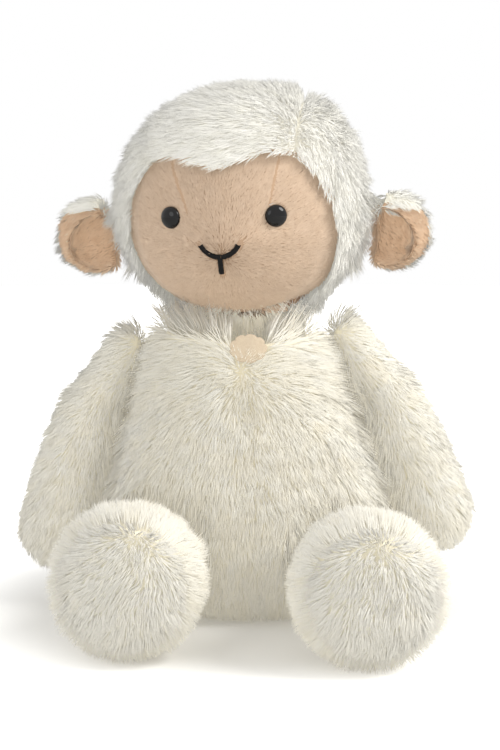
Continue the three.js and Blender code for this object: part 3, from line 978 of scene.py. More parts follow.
@cache
def hair_shape() -> tuple[Points, Points]:
    """Shapes one hair: a three-sided spindle from its root to its tip, thickest at its bend.

    Returns:
        Its vertices, one unit long and one unit in radius, and its faces as rows of vertex numbers.
    """
    bend = 0.42
    bm = bmesh.new()
    bmesh.ops.create_cone(
        bm, cap_ends=True, cap_tris=False, segments=3, radius1=1.0, radius2=0.0, depth=1.0 - bend
    )
    bmesh.ops.remove_doubles(bm, verts=bm.verts, dist=1e-5)
    bmesh.ops.translate(bm, verts=bm.verts, vec=(0, 0, (1.0 + bend) / 2))
    foot = min(bm.faces, key=lambda face: face.calc_center_median().z)
    poked = bmesh.ops.poke(bm, faces=[foot])
    poked["verts"][0].co = (0, 0, 0)
    bm.normal_update()
    points = np.array([v.co[:] for v in bm.verts])
    faces = np.array([[v.index for v in face.verts] for face in bm.faces])
    bm.free()
    return points, faces


@dataclass
class Roots:
    """Where hairs grow, one to a row of each array."""

    places: Points
    ups: Points
    owner: Points
    seam: Points
    away: Points

    def only(self, chosen: Points) -> Roots:
        """The chosen roots."""
        return Roots(*(part[chosen] for part in (self.places, self.ups, self.owner, self.seam, self.away)))


@dataclass
class Coat:
    """Places the roots of hairs on a backing, combs them and makes pieces of them."""

    backing: Piece
    beside: Surface | None
    strokes: tuple[Stroke, ...]
    seed: int
    parting: Parting = Parting()
    ruff: Ruff = Ruff()
    floor: float = 0.4 * MM
    squashed: float = 3.0 * MM
    seam_reach: float = 15 * MM
    most_hairs: int = 30000
    mingle: float = 4 * MM
    bridge: float = 1.6
    firm: float = 0.6
    sunk: float = 0.5 * MM
    lookout: float = 0.2 * MM
    per_cell: float = 0.55
    partners: tuple[str, ...] = ()

    def roots(
        self,
        per_mm2: float,
        frame: SheepFrame,
        panels: Iterable[str],
        keep: Callable[[Points, Points], Points] | None = None,
    ) -> Roots:
        """Scatters roots evenly over the backing.

        Args:
            per_mm2: How many roots there are to a square millimetre.
            frame: The fixed frame.
            panels: The panels of fabric that the backing stands for.
            keep: Says which of the places, with their normals, get a hair.

        Returns:
            The roots.
        """
        rng = np.random.default_rng(self.seed)
        names = list(panels)
        points, triangles = arrays_of(self.backing.data)
        normals = vertex_normals(self.backing.data)
        a, b, c = (points[triangles[:, i]] for i in range(3))
        area = np.linalg.norm(np.cross(b - a, c - a), axis=1) / 2
        ends = np.cumsum(area)
        count = int(ends[-1] / MM**2 * per_mm2)
        picks = (np.arange(count) + rng.uniform(size=count)) / count * ends[-1]
        chosen = np.minimum(np.searchsorted(ends, picks), len(area) - 1)
        u, v = rng.uniform(size=(2, count, 1))
        flip = u + v > 1
        u, v = np.where(flip, 1 - u, u), np.where(flip, 1 - v, v)
        places = a[chosen] * (1 - u - v) + b[chosen] * u + c[chosen] * v
        at_a, at_b, at_c = (normals[triangles[chosen, i]] for i in range(3))
        ups = unit(at_a * (1 - u - v) + at_b * u + at_c * v)
        if keep is not None:
            kept = keep(places, ups)
            places, ups = places[kept], ups[kept]
        owner = frame.surface(names).closest(places)[1]
        seam = np.full(len(places), self.seam_reach)
        away = np.zeros((len(places), 3))
        for number, name in enumerate(names):
            others = [other for other in self.partners or names if other != name]
            if not others:
                continue
            tree = frame.surface(others).tree
            for i in np.nonzero(owner == number)[0].tolist():
                hit, _, _, distance = tree.find_nearest(places[i], self.seam_reach)
                if hit is not None:
                    seam[i], away[i] = distance, places[i] - np.array(hit)
        return Roots(places, ups, owner, seam, unit(away))

    def combed(self, roots: Roots) -> tuple[Points, Points]:
        """The way that the pile is brushed.

        Args:
            roots: The roots.

        Returns:
            A way along the backing for each root, and how much the brush lays it down, from 0 to 1.
        """
        push = sum(stroke.push(roots.places) for stroke in self.strokes)
        push = push + roots.away * (self.parting.strength * np.exp(-roots.seam / self.parting.width))[:, None]
        push = push - (push * roots.ups).sum(1, keepdims=True) * roots.ups
        hold = np.clip(np.linalg.norm(push, axis=1) / self.firm, 0, 1)
        return unit(push), hold * (1 - self.parting.stand * np.exp(-((roots.seam / self.parting.width) ** 2)))

    def grow(self, name: str, roots: Roots, pile: Pile, warmth: float = 0.3) -> Piece:
        """Makes one piece of fur.

        Args:
            name: The piece's name.
            roots: Its roots.
            pile: The kind of pile.
            warmth: The mean tint of its tips, from 0 to 1.

        Returns:
            The piece.
        """
        rng = np.random.default_rng(self.seed + len(roots.places))
        if len(roots.places) > self.most_hairs:
            roots = roots.only(np.sort(rng.choice(len(roots.places), self.most_hairs, replace=False)))
        points, normals = roots.places, roots.ups
        count = len(points)
        ways, hold = self.combed(roots)
        clump = self.clumps(points, pile.clump, rng)
        centres = clump.max() + 1
        swirl = waves_over(points, pile.swirl, rng)
        turn = np.radians(pile.wander) * (swirl + rng.normal(size=centres)[clump] * pile.tuft_turn)
        turn += np.radians(pile.stray) * rng.normal(size=count)
        ways = ways * np.cos(turn)[:, None] + np.cross(normals, ways) * np.sin(turn)[:, None]
        crease = 1 - self.parting.shorter * np.exp(-((roots.seam / self.parting.crease) ** 2))
        uneven = pile.tuft_uneven * rng.normal(size=centres)[clump] + pile.own_uneven * rng.normal(size=count)
        length = pile.length * (1 + pile.uneven * uneven)
        length = np.clip(length, pile.shortest * pile.length, pile.longest * pile.length) * crease
        share = self.ruff.share(points, normals)
        length *= 1 + self.ruff.longer * share
        hold = hold * (1 - self.ruff.stand * share)
        free, stretch = self.free_share(points, normals, length * pile.rise())
        free = np.maximum(free, self.ruff.free * share)
        length *= stretch
        length = length * (pile.pressed + (1 - pile.pressed) * free)
        length = np.maximum(length, self.squashed * (pile.length > self.squashed))
        lift = (rng.normal(size=centres)[clump] + rng.normal(size=count)) * math.radians(pile.sway)
        root_lift, tip_lift = (
            (np.radians(freed - (freed - laid) * hold) + lift) * free
            for freed, laid in ((pile.free_root_lift, pile.root_lift), (pile.free_tip_lift, pile.tip_lift))
        )
        start = points - normals * self.sunk
        middle = start + (length / 2)[:, None] * self.lifted(ways, normals, root_lift)
        tip = middle + (length / 2)[:, None] * self.lifted(ways, normals, tip_lift)
        gather = pile.gather * free[:, None]
        leader = np.unique(clump, return_index=True)[1][clump]
        middle = middle + pile.bend_gather * gather * (middle[leader] - middle)
        tip = tip + gather * (tip[leader] - tip)
        tuft, own = rng.normal(size=centres)[clump], rng.normal(size=count)
        tint = warmth + pile.tuft_tint * tuft + pile.own_tint * own
        return self.mesh(name, (start, middle, tip), normals, pile, np.clip(tint, 0, 1), rng)

    def free_share(self, points: Points, normals: Points, height: Points) -> tuple[Points, Points]:
        """Measures how much of its height the pile can stand up to, beside other bodies and over the floor.

        Args:
            points: The roots.
            normals: The normals of the backing there.
            height: How high each hair would stand.

        Returns:
            For each root a share from 0 to 1, and how many times its length it needs to bridge a narrow gap.
        """
        room, stretch = height.copy(), np.ones(len(height))
        if self.beside:
            limit = 2 * height.max()
            room = self.beside.room(points + normals * self.lookout, normals, limit)
            stretch = np.where(room < limit, np.clip(room / height, 1, self.bridge), 1)
            room = room + self.mingle
        down = np.maximum(-normals[:, 2], 1e-3)
        room = np.minimum(room, np.maximum(points[:, 2] - self.floor, 0) / down)
        return np.clip(room / height, 0, 1), stretch

    @staticmethod
    def lifted(ways: Points, normals: Points, angle: Points) -> Points:
        """Turns ways along the backing up from it by an angle."""
        return ways * np.cos(angle)[:, None] + normals * np.sin(angle)[:, None]

    def clumps(self, points: Points, spacing: float, rng: np.random.Generator) -> Points:
        """Gathers roots into clumps.

        Args:
            points: The roots.
            spacing: How far clumps are apart.
            rng: The source of the clumps' places.

        Returns:
            For each root the number of its clump.
        """
        cells = np.unique(np.floor(points / spacing).astype(int), axis=0)
        count = max(1, min(len(points), int(self.per_cell * len(cells))))
        centres = points[rng.choice(len(points), count, replace=False)]
        tree = KDTree(count)
        for i, centre in enumerate(centres.tolist()):
            tree.insert(centre, i)
        tree.balance()
        found = np.array([tree.find(p)[1] for p in points.tolist()])
        return np.unique(found, return_inverse=True)[1]

    def mesh(
        self,
        name: str,
        curve: tuple[Points, Points, Points],
        normals: Points,
        pile: Pile,
        tint: Points,
        rng: np.random.Generator,
    ) -> Piece:
        """Makes the mesh of many hairs, each a copy of the one shape swept along its own bend.

        Args:
            name: The piece's name.
            curve: The root, the bend's handle and the tip of each hair.
            normals: The normals of the backing at the roots.
            pile: The kind of pile.
            tint: The tint of each hair.
            rng: The source of each hair's twist.

        Returns:
            The piece.
        """
        shape, shape_faces = hair_shape()
        start, middle, tip = (part[:, None, :] for part in curve)
        along = shape[:, 2][None, :, None]
        spine = start * (1 - along) ** 2 + middle * 2 * along * (1 - along) + tip * along**2
        forward = unit(curve[2] - curve[0])
        side = unit(np.cross(normals, forward) + 1e-6)
        up = np.cross(forward, side)
        twist = rng.uniform(0, 2 * math.pi, len(tint))[:, None]
        side, up = side * np.cos(twist) + up * np.sin(twist), up * np.cos(twist) - side * np.sin(twist)
        radial = shape[:, 0][None, :, None] * side[:, None, :] + shape[:, 1][None, :, None] * up[:, None, :]
        places = spine + radial * pile.thickness / 2
        places[..., 2] = np.maximum(places[..., 2], self.floor)
        soft = unit(normals[:, None, :] * pile.softness + radial * (1 - pile.softness))
        count, corners = len(tint), len(shape)
        faces = (shape_faces[None] + (np.arange(count) * corners)[:, None, None]).reshape(-1, 3)
        mesh = bpy.data.meshes.new(name)
        mesh.vertices.add(count * corners)
        mesh.vertices.foreach_set("co", places.astype(np.float32).ravel())
        mesh.loops.add(faces.size)
        mesh.loops.foreach_set("vertex_index", faces.astype(np.int32).ravel())
        mesh.polygons.add(len(faces))
        mesh.polygons.foreach_set("loop_start", np.arange(0, faces.size, 3, dtype=np.int32))
        mesh.update(calc_edges=True)
        mesh.shade_smooth()
        mesh.normals_split_custom_set_from_vertices(soft.reshape(-1, 3))
        margin, breadth = 0.01, 0.94
        across = 2 * margin + breadth * tint[:, None] + margin * (shape[:, 0][None, :] + 1)
        height = np.tile(margin + (1 - 2 * margin) * shape[:, 2], (count, 1))
        uv = np.stack([across, height], -1).reshape(-1, 2)[faces.ravel()].astype(np.float32)
        for layer in (HAIR_MAP, BAKE_MAP):
            mesh.uv_layers.new(name=layer).data.foreach_set("uv", uv.ravel())
        LOG.info("%s: %d hairs", name, count)
        return new_object(name, mesh)


# Sub-assemblies

BODY_PILE = Pile(10.5 * MM, 0.55 * MM, 1.57, root_lift=62.0, tip_lift=22.0, gather=0.14, uneven=0.15)
LIMB_PILE = Pile(10 * MM, 0.55 * MM, 1.57, root_lift=62.0, tip_lift=22.0, gather=0.14, uneven=0.15)
SOLE_PILE = Pile(8.5 * MM, 0.55 * MM, 1.57, root_lift=60.0, tip_lift=22.0, gather=0.2, wander=16.0)
SEAT_PILE = Pile(7 * MM, 0.7 * MM, 0.7)
NECK_PILE = Pile(11 * MM, 0.55 * MM, 1.7, root_lift=75.0, tip_lift=45.0, wander=26.0)
CAP_PILE = Pile(11 * MM, 0.52 * MM, 1.75, root_lift=60.0, tip_lift=21.0, gather=0.12, wander=7.0)
GUSSET_PILE = Pile(
    11.5 * MM, 0.52 * MM, 1.75, root_lift=62.0, tip_lift=22.0, gather=0.1, clump=3 * MM, uneven=0.1,
    wander=6.0,
)
FACE_PILE = Pile(
    4.2 * MM, 0.52 * MM, 4.0, root_lift=32.0, tip_lift=10.0, clump=1.5 * MM, gather=0.02, wander=8.0,
    stray=9.0, uneven=0.12, sway=2.5,
)
LINING_PILE = Pile(
    5.2 * MM, 0.46 * MM, 3.2, root_lift=38.0, tip_lift=12.0, clump=2.2 * MM, gather=0.1, wander=12.0,
    stray=10.0, uneven=0.12,
)
EAR_BACK_PILE = Pile(7.5 * MM, 0.5 * MM, 1.9, root_lift=52.0, tip_lift=14.0)


@dataclass
class Torso:
    """The body: four panels of pile fabric over filling, with a bag of beans and a chest patch."""

    depth: float = 5.8 * MM
    seat_depth: float = 2.0 * MM
    patch_thickness: float = 1.5 * MM
    patch_edge: float = 0.45 * MM
    patch_lap: float = 1 * MM
    patch_reach: float = 12 * MM
    patch_lobes: int = 9
    patch_steps: int = 12
    patch_notch: float = 0.13
    patch_rings: tuple[float, ...] = (0.1, 0.15, 0.2, 0.25)
    whorl_off: tuple[float, float, float] = (-3 * MM, 0, -13 * MM)
    whorl_radius: float = 36 * MM
    whorl_strength: float = 2.8
    mingle: float = 7 * MM
    down: tuple[float, float, float] = (0, -0.1, -1)
    warmth: float = 0.4
    ruff: Ruff = Ruff(98 * MM, 120 * MM, 0.5, 0.6, free=1.0)
    parting: Parting = Parting(strength=0.0, shorter=0.15, stand=0.3)
    seed: int = 11

    def build(self, frame: SheepFrame, finishes: Finishes) -> None:
        """Builds and dresses the body.

        Args:
            frame: The fixed frame.
            finishes: The finishes.
        """
        panels = {
            "seat_panel": self.seat_depth,
            "body_back": self.depth,
            "body_front_left": self.depth,
            "body_front_right": self.depth,
        }
        backing = StuffedForm("body_backing", panels, ("body_filling", "seat_bean_bag")).build(frame)
        settle(backing, finishes.body_backing, "body_plush", "torso")
        patch = self.patch(frame)
        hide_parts("chest_patch")
        settle(patch, finishes.felt, "patch_felt", "torso")
        low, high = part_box("chest_patch")
        centre, half = (low + high) / 2, (high - low) / 2
        whorl = Whorl(centre + Vector(self.whorl_off), self.whorl_radius, self.whorl_strength)
        strokes = (Lay(Vector(self.down)), whorl)
        beside = frame.beside("torso")
        coat = Coat(backing, beside, strokes, self.seed, self.parting, self.ruff, mingle=self.mingle)

        def off_patch(points: Points, _: Points) -> Points:
            """Finds the roots that the patch leaves free.

            Args:
                points: The roots.

            Returns:
                For each root whether it is beside the patch or on the back.
            """
            x = (points[:, 0] - centre.x) / (half.x - self.patch_lap)
            z = (points[:, 2] - centre.z) / (half.z - self.patch_lap)
            return (x**2 + z**2 > 1) | (points[:, 1] > high.y + self.patch_reach)

        roots = coat.roots(BODY_PILE.per_mm2, frame, panels, off_patch)
        rng = np.random.default_rng(self.seed)
        for number, name in enumerate(panels):
            mine = roots.owner == number
            pile = BODY_PILE
            if name == "seat_panel":
                pile = SEAT_PILE
                mine &= rng.uniform(size=len(mine)) < SEAT_PILE.per_mm2 / BODY_PILE.per_mm2
            fur = coat.grow(f"{name}_fur", roots.only(mine), pile, self.warmth)
            settle(fur, finishes.body, "body_plush", "torso")

    def patch(self, frame: SheepFrame) -> Piece:
        """Makes the bare felt patch on the chest.

        Args:
            frame: The fixed frame.

        Returns:
            The patch: a soft scalloped disc that lies on the chest, with a rounded edge.
        """
        low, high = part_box("chest_patch")
        centre, half = (low + high) / 2, (high - low) / 2
        chest = frame.surface(["body_front_left", "body_front_right"])
        bm = bmesh.new()
        bmesh.ops.create_circle(bm, cap_ends=True, segments=self.patch_steps * self.patch_lobes, radius=1.0)
        middle = bm.faces[:]
        for share in self.patch_rings:
            bmesh.ops.inset_individual(bm, faces=middle, thickness=share)
        bmesh.ops.poke(bm, faces=middle)
        for vert in bm.verts:
            lobe = abs(math.cos(self.patch_lobes * math.atan2(vert.co.y, vert.co.x) / 2))
            swell = 1 - self.patch_notch * (1 - lobe) ** 2 * vert.co.length
            at = Vector((centre.x + half.x * swell * vert.co.x, 0.0, centre.z + half.z * swell * vert.co.y))
            vert.co = (at.x, chest.tree.find_nearest((at.x, low.y, at.z))[0].y, at.z)
        bmesh.ops.recalc_face_normals(bm, faces=bm.faces)
        if sum(face.normal.y for face in bm.faces) > 0:
            bmesh.ops.reverse_faces(bm, faces=bm.faces)
        made = object_from("chest_patch_felt", bm)
        wall = made.modifiers.new("Felt", "SOLIDIFY")
        wall.thickness, wall.offset = self.patch_thickness, 1.0
        edge = made.modifiers.new("Soft edge", "BEVEL")
        edge.width, edge.segments, edge.limit_method = self.patch_edge, 3, "ANGLE"
        apply_modifiers(made)
        made.data.shade_smooth()
        return made


@dataclass
class Head:
    """The head: a peach face and a woolly cap, with eyes and an embroidered mouth."""

    cap_depth: float = 7.2 * MM
    face_depth: float = 1.3 * MM
    stuffing: Stuffing = Stuffing(3.0 * MM, seam_draw=0.6 * MM, seam_width=1, swell_limit=1.2 * MM, fill=0.9)
    eye_dome: float = 3.8 * MM
    eye_radius: float = 5.3 * MM
    eye_steps: int = 48
    eye_rim: float = 0.9 * MM
    eye_sink: float = 0.9 * MM
    eye_foot: float = 0.6 * MM
    eye_foot_share: float = 0.6
    eye_clear_share: float = 0.84
    eye_clear_depth: float = 12 * MM
    mouth_radius: float = 10 * MM
    mouth_span: float = 129.0
    mouth_aside: float = -0.8 * MM
    mouth_rise: float = 31.2 * MM
    mouth_stem: float = 7.8 * MM
    mouth_clear_share: float = 0.65
    stitch_width: float = 2.1 * MM
    stitch_uneven: tuple[float, float] = (0.92, 1.12)
    stitch_sink: float = 0.1 * MM
    stitch_arch_share: float = 0.9
    thread_radius: float = 0.26 * MM
    thread_pitch: float = 0.36 * MM
    thread_steps: int = 6
    look_from: float = 150 * MM
    seam_fade: float = 9 * MM
    seam_fade_by: float = 8 * MM
    crown: tuple[float, float, float] = (6 * MM, 52 * MM, 84 * MM)
    lip_ahead: float = 66 * MM
    lip_core: float = 2 * MM
    cap_way: tuple[float, float, float] = (0, -0.15, -0.35)
    cap_lay: float = 0.35
    brow_way: tuple[float, float, float] = (-0.8, -0.1, -0.6)
    brow_radius: float = 60 * MM
    cap_warmth: float = 0.3
    face_warmth: float = 0.4
    roll: Parting = Parting(strength=0.0, crease=2.6 * MM, shorter=0.2, stand=0.4)
    sharp: Parting = Parting(1.2 * MM, 1.0, crease=0.9 * MM, shorter=0.7, stand=0.0)
    seed: int = 23

    def build(self, frame: SheepFrame, finishes: Finishes) -> None:
        """Builds and dresses the head.

        Args:
            frame: The fixed frame.
            finishes: The finishes.
        """
        cap = ["wool_gusset", "wool_left", "wool_right"]
        face = ["face_gusset", "face_left", "face_right"]
        panels = {name: self.cap_depth for name in cap} | {name: self.face_depth for name in face}
        form = StuffedForm("head_backing", panels, ("head_filling",), self.stuffing)
        backing = form.build(frame)
        covers = {name: finishes.cap_backing for name in cap} | {name: finishes.face_backing for name in face}
        form.dress(backing, frame, covers)
        settle(backing, None, "face_plush", "head")
        across = frame.joint_axis("head_nod")
        back = Vector((0, 0, 1)).cross(across).normalized()
        turned = Matrix((across, back, across.cross(back))).transposed().to_4x4()
        own = Matrix.Translation(frame.joint_place("head_nod")) @ turned
        eyes = [self.eye(frame, side, finishes) for side in Side]
        mouth = self.mouth(frame.surface(face), own)
        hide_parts("mouth_stitch")
        settle(mouth, finishes.thread, "thread", "head")
        self.fur(frame, finishes, Coat(backing, frame.beside("head"), (), self.seed), own, eyes)

    def eye(self, frame: SheepFrame, side: Side, finishes: Finishes) -> tuple[Vector, Vector]:
        """Makes one safety eye, turned from its profile.

        Args:
            frame: The fixed frame.
            side: The side that it is on.
            finishes: The finishes.

        Returns:
            The middle of its flat back, and the way that it faces.
        """
        node = f"eye_{side.word}"
        points = frame.points(node)
        middle = points.mean(0)
        axis = np.linalg.svd(points - middle, full_matrices=False)[2][0]
        axis *= np.sign(axis @ (middle - np.array(frame.middle("head_filling"))))
        out = Vector(axis)
        top = Vector(middle + axis * ((points - middle) @ axis).max())
        place = top - out * (self.eye_dome + self.eye_sink)
        bm = bmesh.new()
        foot, radius = -self.eye_foot, self.eye_radius
        rim = [(0.0, foot), (self.eye_foot_share * radius, foot), (radius, 0.0)]
        steps = self.eye_steps // 4
        angles = [math.pi / 2 * i / steps for i in range(steps + 1)]
        height = self.eye_dome - self.eye_rim
        dome = [(radius * math.cos(angle), self.eye_rim + height * math.sin(angle)) for angle in angles]
        verts = [bm.verts.new((r if r > 1e-7 else 0.0, 0, z)) for r, z in [*rim, *dome]]
        edges = [bm.edges.new(pair) for pair in zip(verts, verts[1:])]
        bmesh.ops.spin(
            bm, geom=[*verts, *edges], cent=(0, 0, 0), axis=(0, 0, 1), angle=2 * math.pi,
            steps=self.eye_steps, use_merge=True,
        )
        bmesh.ops.remove_doubles(bm, verts=bm.verts, dist=WELD)
        bmesh.ops.recalc_face_normals(bm, faces=bm.faces)
        turn = out.to_track_quat("Z", "Y").to_matrix().to_4x4()
        bmesh.ops.transform(bm, matrix=Matrix.Translation(place) @ turn, verts=bm.verts)
        made = object_from(f"eye_{side.word}_dome", bm)
        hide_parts(node)
        settle(made, finishes.eye, "eye_plastic", "head")
        return place, out

    def mouth_route(self) -> list[tuple[Vector, Vector]]:
        """Where the mouth's threads lie.

        Returns:
            For each thread its middle and its way, both in the front view of the head.
        """
        half = math.radians(self.mouth_span / 2)
        count = round(2 * half * self.mouth_radius / self.thread_pitch)
        middle = Vector((self.mouth_aside, self.mouth_rise))
        route = []
        for i in range(count + 1):
            angle = -math.pi / 2 - half + 2 * half * i / count
            way = Vector((math.cos(angle), math.sin(angle)))
            route.append((middle + self.mouth_radius * way, way))
        steps = round(self.mouth_stem / self.thread_pitch)
        for i in range(1, steps + 1):
            down = self.mouth_radius + self.mouth_stem * i / steps
            route.append((middle + Vector((0, -down)), Vector((1, 0))))
        return route

    def mouth(self, face: Surface, own: Matrix) -> Piece:
        """Works the mouth in satin stitch, thread by thread.

        Args:
            face: The surface of the face.
            own: The head's own frame at the neck: X to its left, Z up through its crown.

        Returns:
            The mouth.
        """
        turn = own.to_3x3()
        ahead = turn @ Vector((0, 1, 0))
        rng = np.random.default_rng(self.seed)
        bm = bmesh.new()
        for place, way in self.mouth_route():
            start = own @ Vector((place.x, -self.look_from, place.y))
            hit, normal = face.tree.ray_cast(start, ahead)[:2]
            across = turn @ Vector((way.x, 0, way.y))
            across = (across - across.dot(normal) * normal).normalized()
            thread = self.arch(bm)
            lift = Matrix((across, normal.cross(across), normal)).transposed().to_4x4()
            wide = self.stitch_width / 2 * rng.uniform(*self.stitch_uneven) / (1.0 * MM)
            size = Matrix.Diagonal((wide, 1.0, self.stitch_arch_share, 1.0))
            at = Matrix.Translation(hit - normal * self.stitch_sink)
            bmesh.ops.transform(bm, matrix=at @ lift @ size, verts=thread)
        bmesh.ops.recalc_face_normals(bm, faces=bm.faces)
        return object_from("mouth_threads", bm)

    def arch(self, bm: bmesh.types.BMesh) -> list[bmesh.types.BMVert]:
        """Sweeps one thread through a half circle about Y, with a radius of 1 mm.

        Args:
            bm: The bmesh that the thread is added to.

        Returns:
            All the vertices of the thread.
        """
        before = set(bm.verts)
        steps, radius = self.thread_steps, self.thread_radius
        ring = bmesh.ops.create_circle(bm, cap_ends=True, segments=steps, radius=radius)["verts"]
        bmesh.ops.translate(bm, verts=ring, vec=(1.0 * MM, 0, 0))
        end = ring[0].link_faces[0]
        geometry = [end, *end.edges, *end.verts]
        bmesh.ops.spin(bm, geom=geometry, cent=(0, 0, 0), axis=(0, -1, 0), angle=math.pi, steps=steps)
        return [v for v in bm.verts if v not in before]

    def fur(
        self,
        frame: SheepFrame,
        finishes: Finishes,
        coat: Coat,
        own: Matrix,
        eyes: list[tuple[Vector, Vector]],
    ) -> None:
        """Grows the cap and the face's short pile.

        Args:
            frame: The fixed frame.
            finishes: The finishes.
            coat: The head's coat, not yet combed.
            own: The head's own frame.
            eyes: The place and the facing of each eye.
        """
        crown = own @ Vector(self.crown)
        stem_end = self.mouth_rise - self.mouth_radius - self.mouth_stem
        lip = own @ Vector((self.mouth_aside, -self.lip_ahead, stem_end))
        inverse = np.array(own.inverted())
        threads = self.mouth_route()
        route = KDTree(len(threads))
        for i, (place, _) in enumerate(threads):
            route.insert((place.x, place.y, 0), i)
        route.balance()

        def clear(points: Points, _: Points) -> Points:
            """Finds the roots clear of the eyes and of the mouth's threads.

            Args:
                points: The roots.

            Returns:
                For each root whether it is clear.
            """
            kept = np.ones(len(points), bool)
            for place, out in eyes:
                ahead = reach(points, place, out)
                side = np.linalg.norm(points - np.array(place) - ahead[:, None] * np.array(out), axis=1)
                kept &= (side > self.eye_clear_share * self.eye_radius) | (ahead < -self.eye_clear_depth)
            local = points @ inverse[:3, :3].T + inverse[:3, 3]
            for i in np.nonzero(kept & (local[:, 1] < 0))[0]:
                distance = route.find((local[i, 0], local[i, 2], 0))[2]
                kept[i] = distance > self.mouth_clear_share * self.stitch_width
            return kept

        cap_strokes = (Whorl(crown), Lay(Vector(self.cap_way), self.cap_lay))
        brow_strokes = (Whorl(crown, self.brow_radius), Lay(Vector(self.brow_way)))
        face_strokes = (Whorl(lip, core=self.lip_core),)
        names = ("wool_gusset", "wool_left", "wool_right", "face_gusset", "face_left", "face_right")
        for pile, strokes, parting, first, finish, slot, warmth in (
            (CAP_PILE, cap_strokes, self.roll, 0, finishes.wool, "wool_plush", self.cap_warmth),
            (FACE_PILE, face_strokes, self.sharp, 3, finishes.face, "face_plush", self.face_warmth),
        ):
            coat.seed, coat.parting, coat.partners = self.seed + first, parting, names[first:first + 3]
            roots = coat.roots(pile.per_mm2, frame, names, clear)
            if first:
                height = roots.places @ inverse[2, :3] + inverse[2, 3]
                below = np.clip((self.mouth_rise + self.seam_fade - height) / self.seam_fade, 0, 1)
                roots.seam += self.seam_fade_by * below
            for number in range(first, first + 3):
                brow = names[number] == "wool_gusset"
                own_pile, coat.strokes = (GUSSET_PILE, brow_strokes) if brow else (pile, strokes)
                fur = coat.grow(f"{names[number]}_fur", roots.only(roots.owner == number), own_pile, warmth)
                settle(fur, finish, slot, "head")


@dataclass
class Neck:
    """The neck: the stuffed stub that the head is sewn to, with its own ring of fur."""

    depth: float = 2.0 * MM
    ring_below: float = 16 * MM
    ring_above: float = 22 * MM
    down: float = 0.3
    # The high warmth is painted shade: it yellows the ring of fur that sits in the shade under the chin.
    warmth: float = 0.7
    seed: int = 31

    def build(self, frame: SheepFrame, finishes: Finishes) -> None:
        """Builds and dresses the neck.

        Args:
            frame: The fixed frame.
            finishes: The finishes.
        """
        backing = StuffedForm("neck_backing", {"neck_filling": self.depth}).build(frame)
        settle(backing, finishes.body_backing, "body_plush", "neck")
        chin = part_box("wool_gusset")[0].z

        def seen(points: Points, _: Points) -> Points:
            """Keeps the ring of roots between the chin and the chest."""
            return (points[:, 2] > chin - self.ring_below) & (points[:, 2] < chin + self.ring_above)

        strokes = (Lay(Vector((0, 0, -1)), self.down), Whorl(frame.joint_place("head_turn")))
        coat = Coat(backing, None, strokes, self.seed)
        roots = coat.roots(NECK_PILE.per_mm2, frame, ["neck_filling"], seen)
        settle(coat.grow("neck_fur", roots, NECK_PILE, self.warmth), finishes.body, "body_plush", "neck")


@dataclass
class Ear:
    """One paddle ear: a furry back and a short-pile lining in its cup."""

    side: Side
    back_depth: float = 3.5 * MM
    lining_depth: float = 1.5 * MM
    stuffing: Stuffing = Stuffing(1.8 * MM, 6, seam_draw=0.0, pressure=1.0, swell_limit=0.8 * MM, fill=0.4)
    root_blend: float = 5 * MM
    root_reach: float = 6 * MM
    root_length: float = 14 * MM
    root_bare: float = -5 * MM
    fold_rise: float = 8 * MM
    rim_facing: float = 0.3
    down: float = 0.25
    warmth: float = 0.4
    seed: int = 41

    def build(self, frame: SheepFrame, finishes: Finishes) -> None:
        """Builds and dresses the ear.

        Args:
            frame: The fixed frame.
            finishes: The finishes.
        """
        body = f"ear_{self.side.word}"
        back, lining = f"{body}_back", f"{body}_lining"
        panels = {back: self.back_depth, lining: self.lining_depth}
        form = StuffedForm(f"{body}_backing", panels, stuffing=self.stuffing)
        backing = form.build(frame)
        form.dress(backing, frame, {back: finishes.cap_backing, lining: finishes.face_backing})
        hinge = frame.joint_place(f"{body}_flop")
        behind = frame.joint_axis(f"{body}_flop")
        out = frame.middle(back) - hinge
        out = (out - out.dot(behind) * behind).normalized()
        points = arrays_of(backing.data)[0]
        share = 1 - np.clip(reach(points, hinge, out) / self.root_length, 0, 1)
        place_vertices(backing.data, points - np.array(out) * (self.root_reach * share * share)[:, None])
        span = ("head", body, hinge - out * self.root_blend, hinge + out * self.root_blend)
        settle(backing, None, "face_plush", *span)
        strokes = (Lay(out), Lay(Vector((0, 0, -1)), self.down))
        flush = Parting(strength=0.0, shorter=0.0, stand=0.0)
        coat = Coat(backing, frame.beside(body), strokes, self.seed + self.side.value, flush)

        def keep(points: Points, _: Points) -> Points:
            """Keeps the roots clear of the ear's sewn root."""
            return reach(points, hinge, out) > self.root_bare

        for number, (word, pile, finish, slot) in enumerate((
            ("back", EAR_BACK_PILE, finishes.wool, "body_plush"),
            ("lining", LINING_PILE, finishes.lining, "face_plush"),
        )):
            roots = coat.roots(pile.per_mm2, frame, panels, keep)
            front = (roots.owner == 1) | (roots.ups @ np.array(behind) < self.rim_facing)
            lined = front & (roots.places[:, 2] < hinge.z + self.fold_rise)
            fur = coat.grow(f"{body}_{word}_fur", roots.only(lined == bool(number)), pile, self.warmth)
            settle(fur, finish, slot, *span)


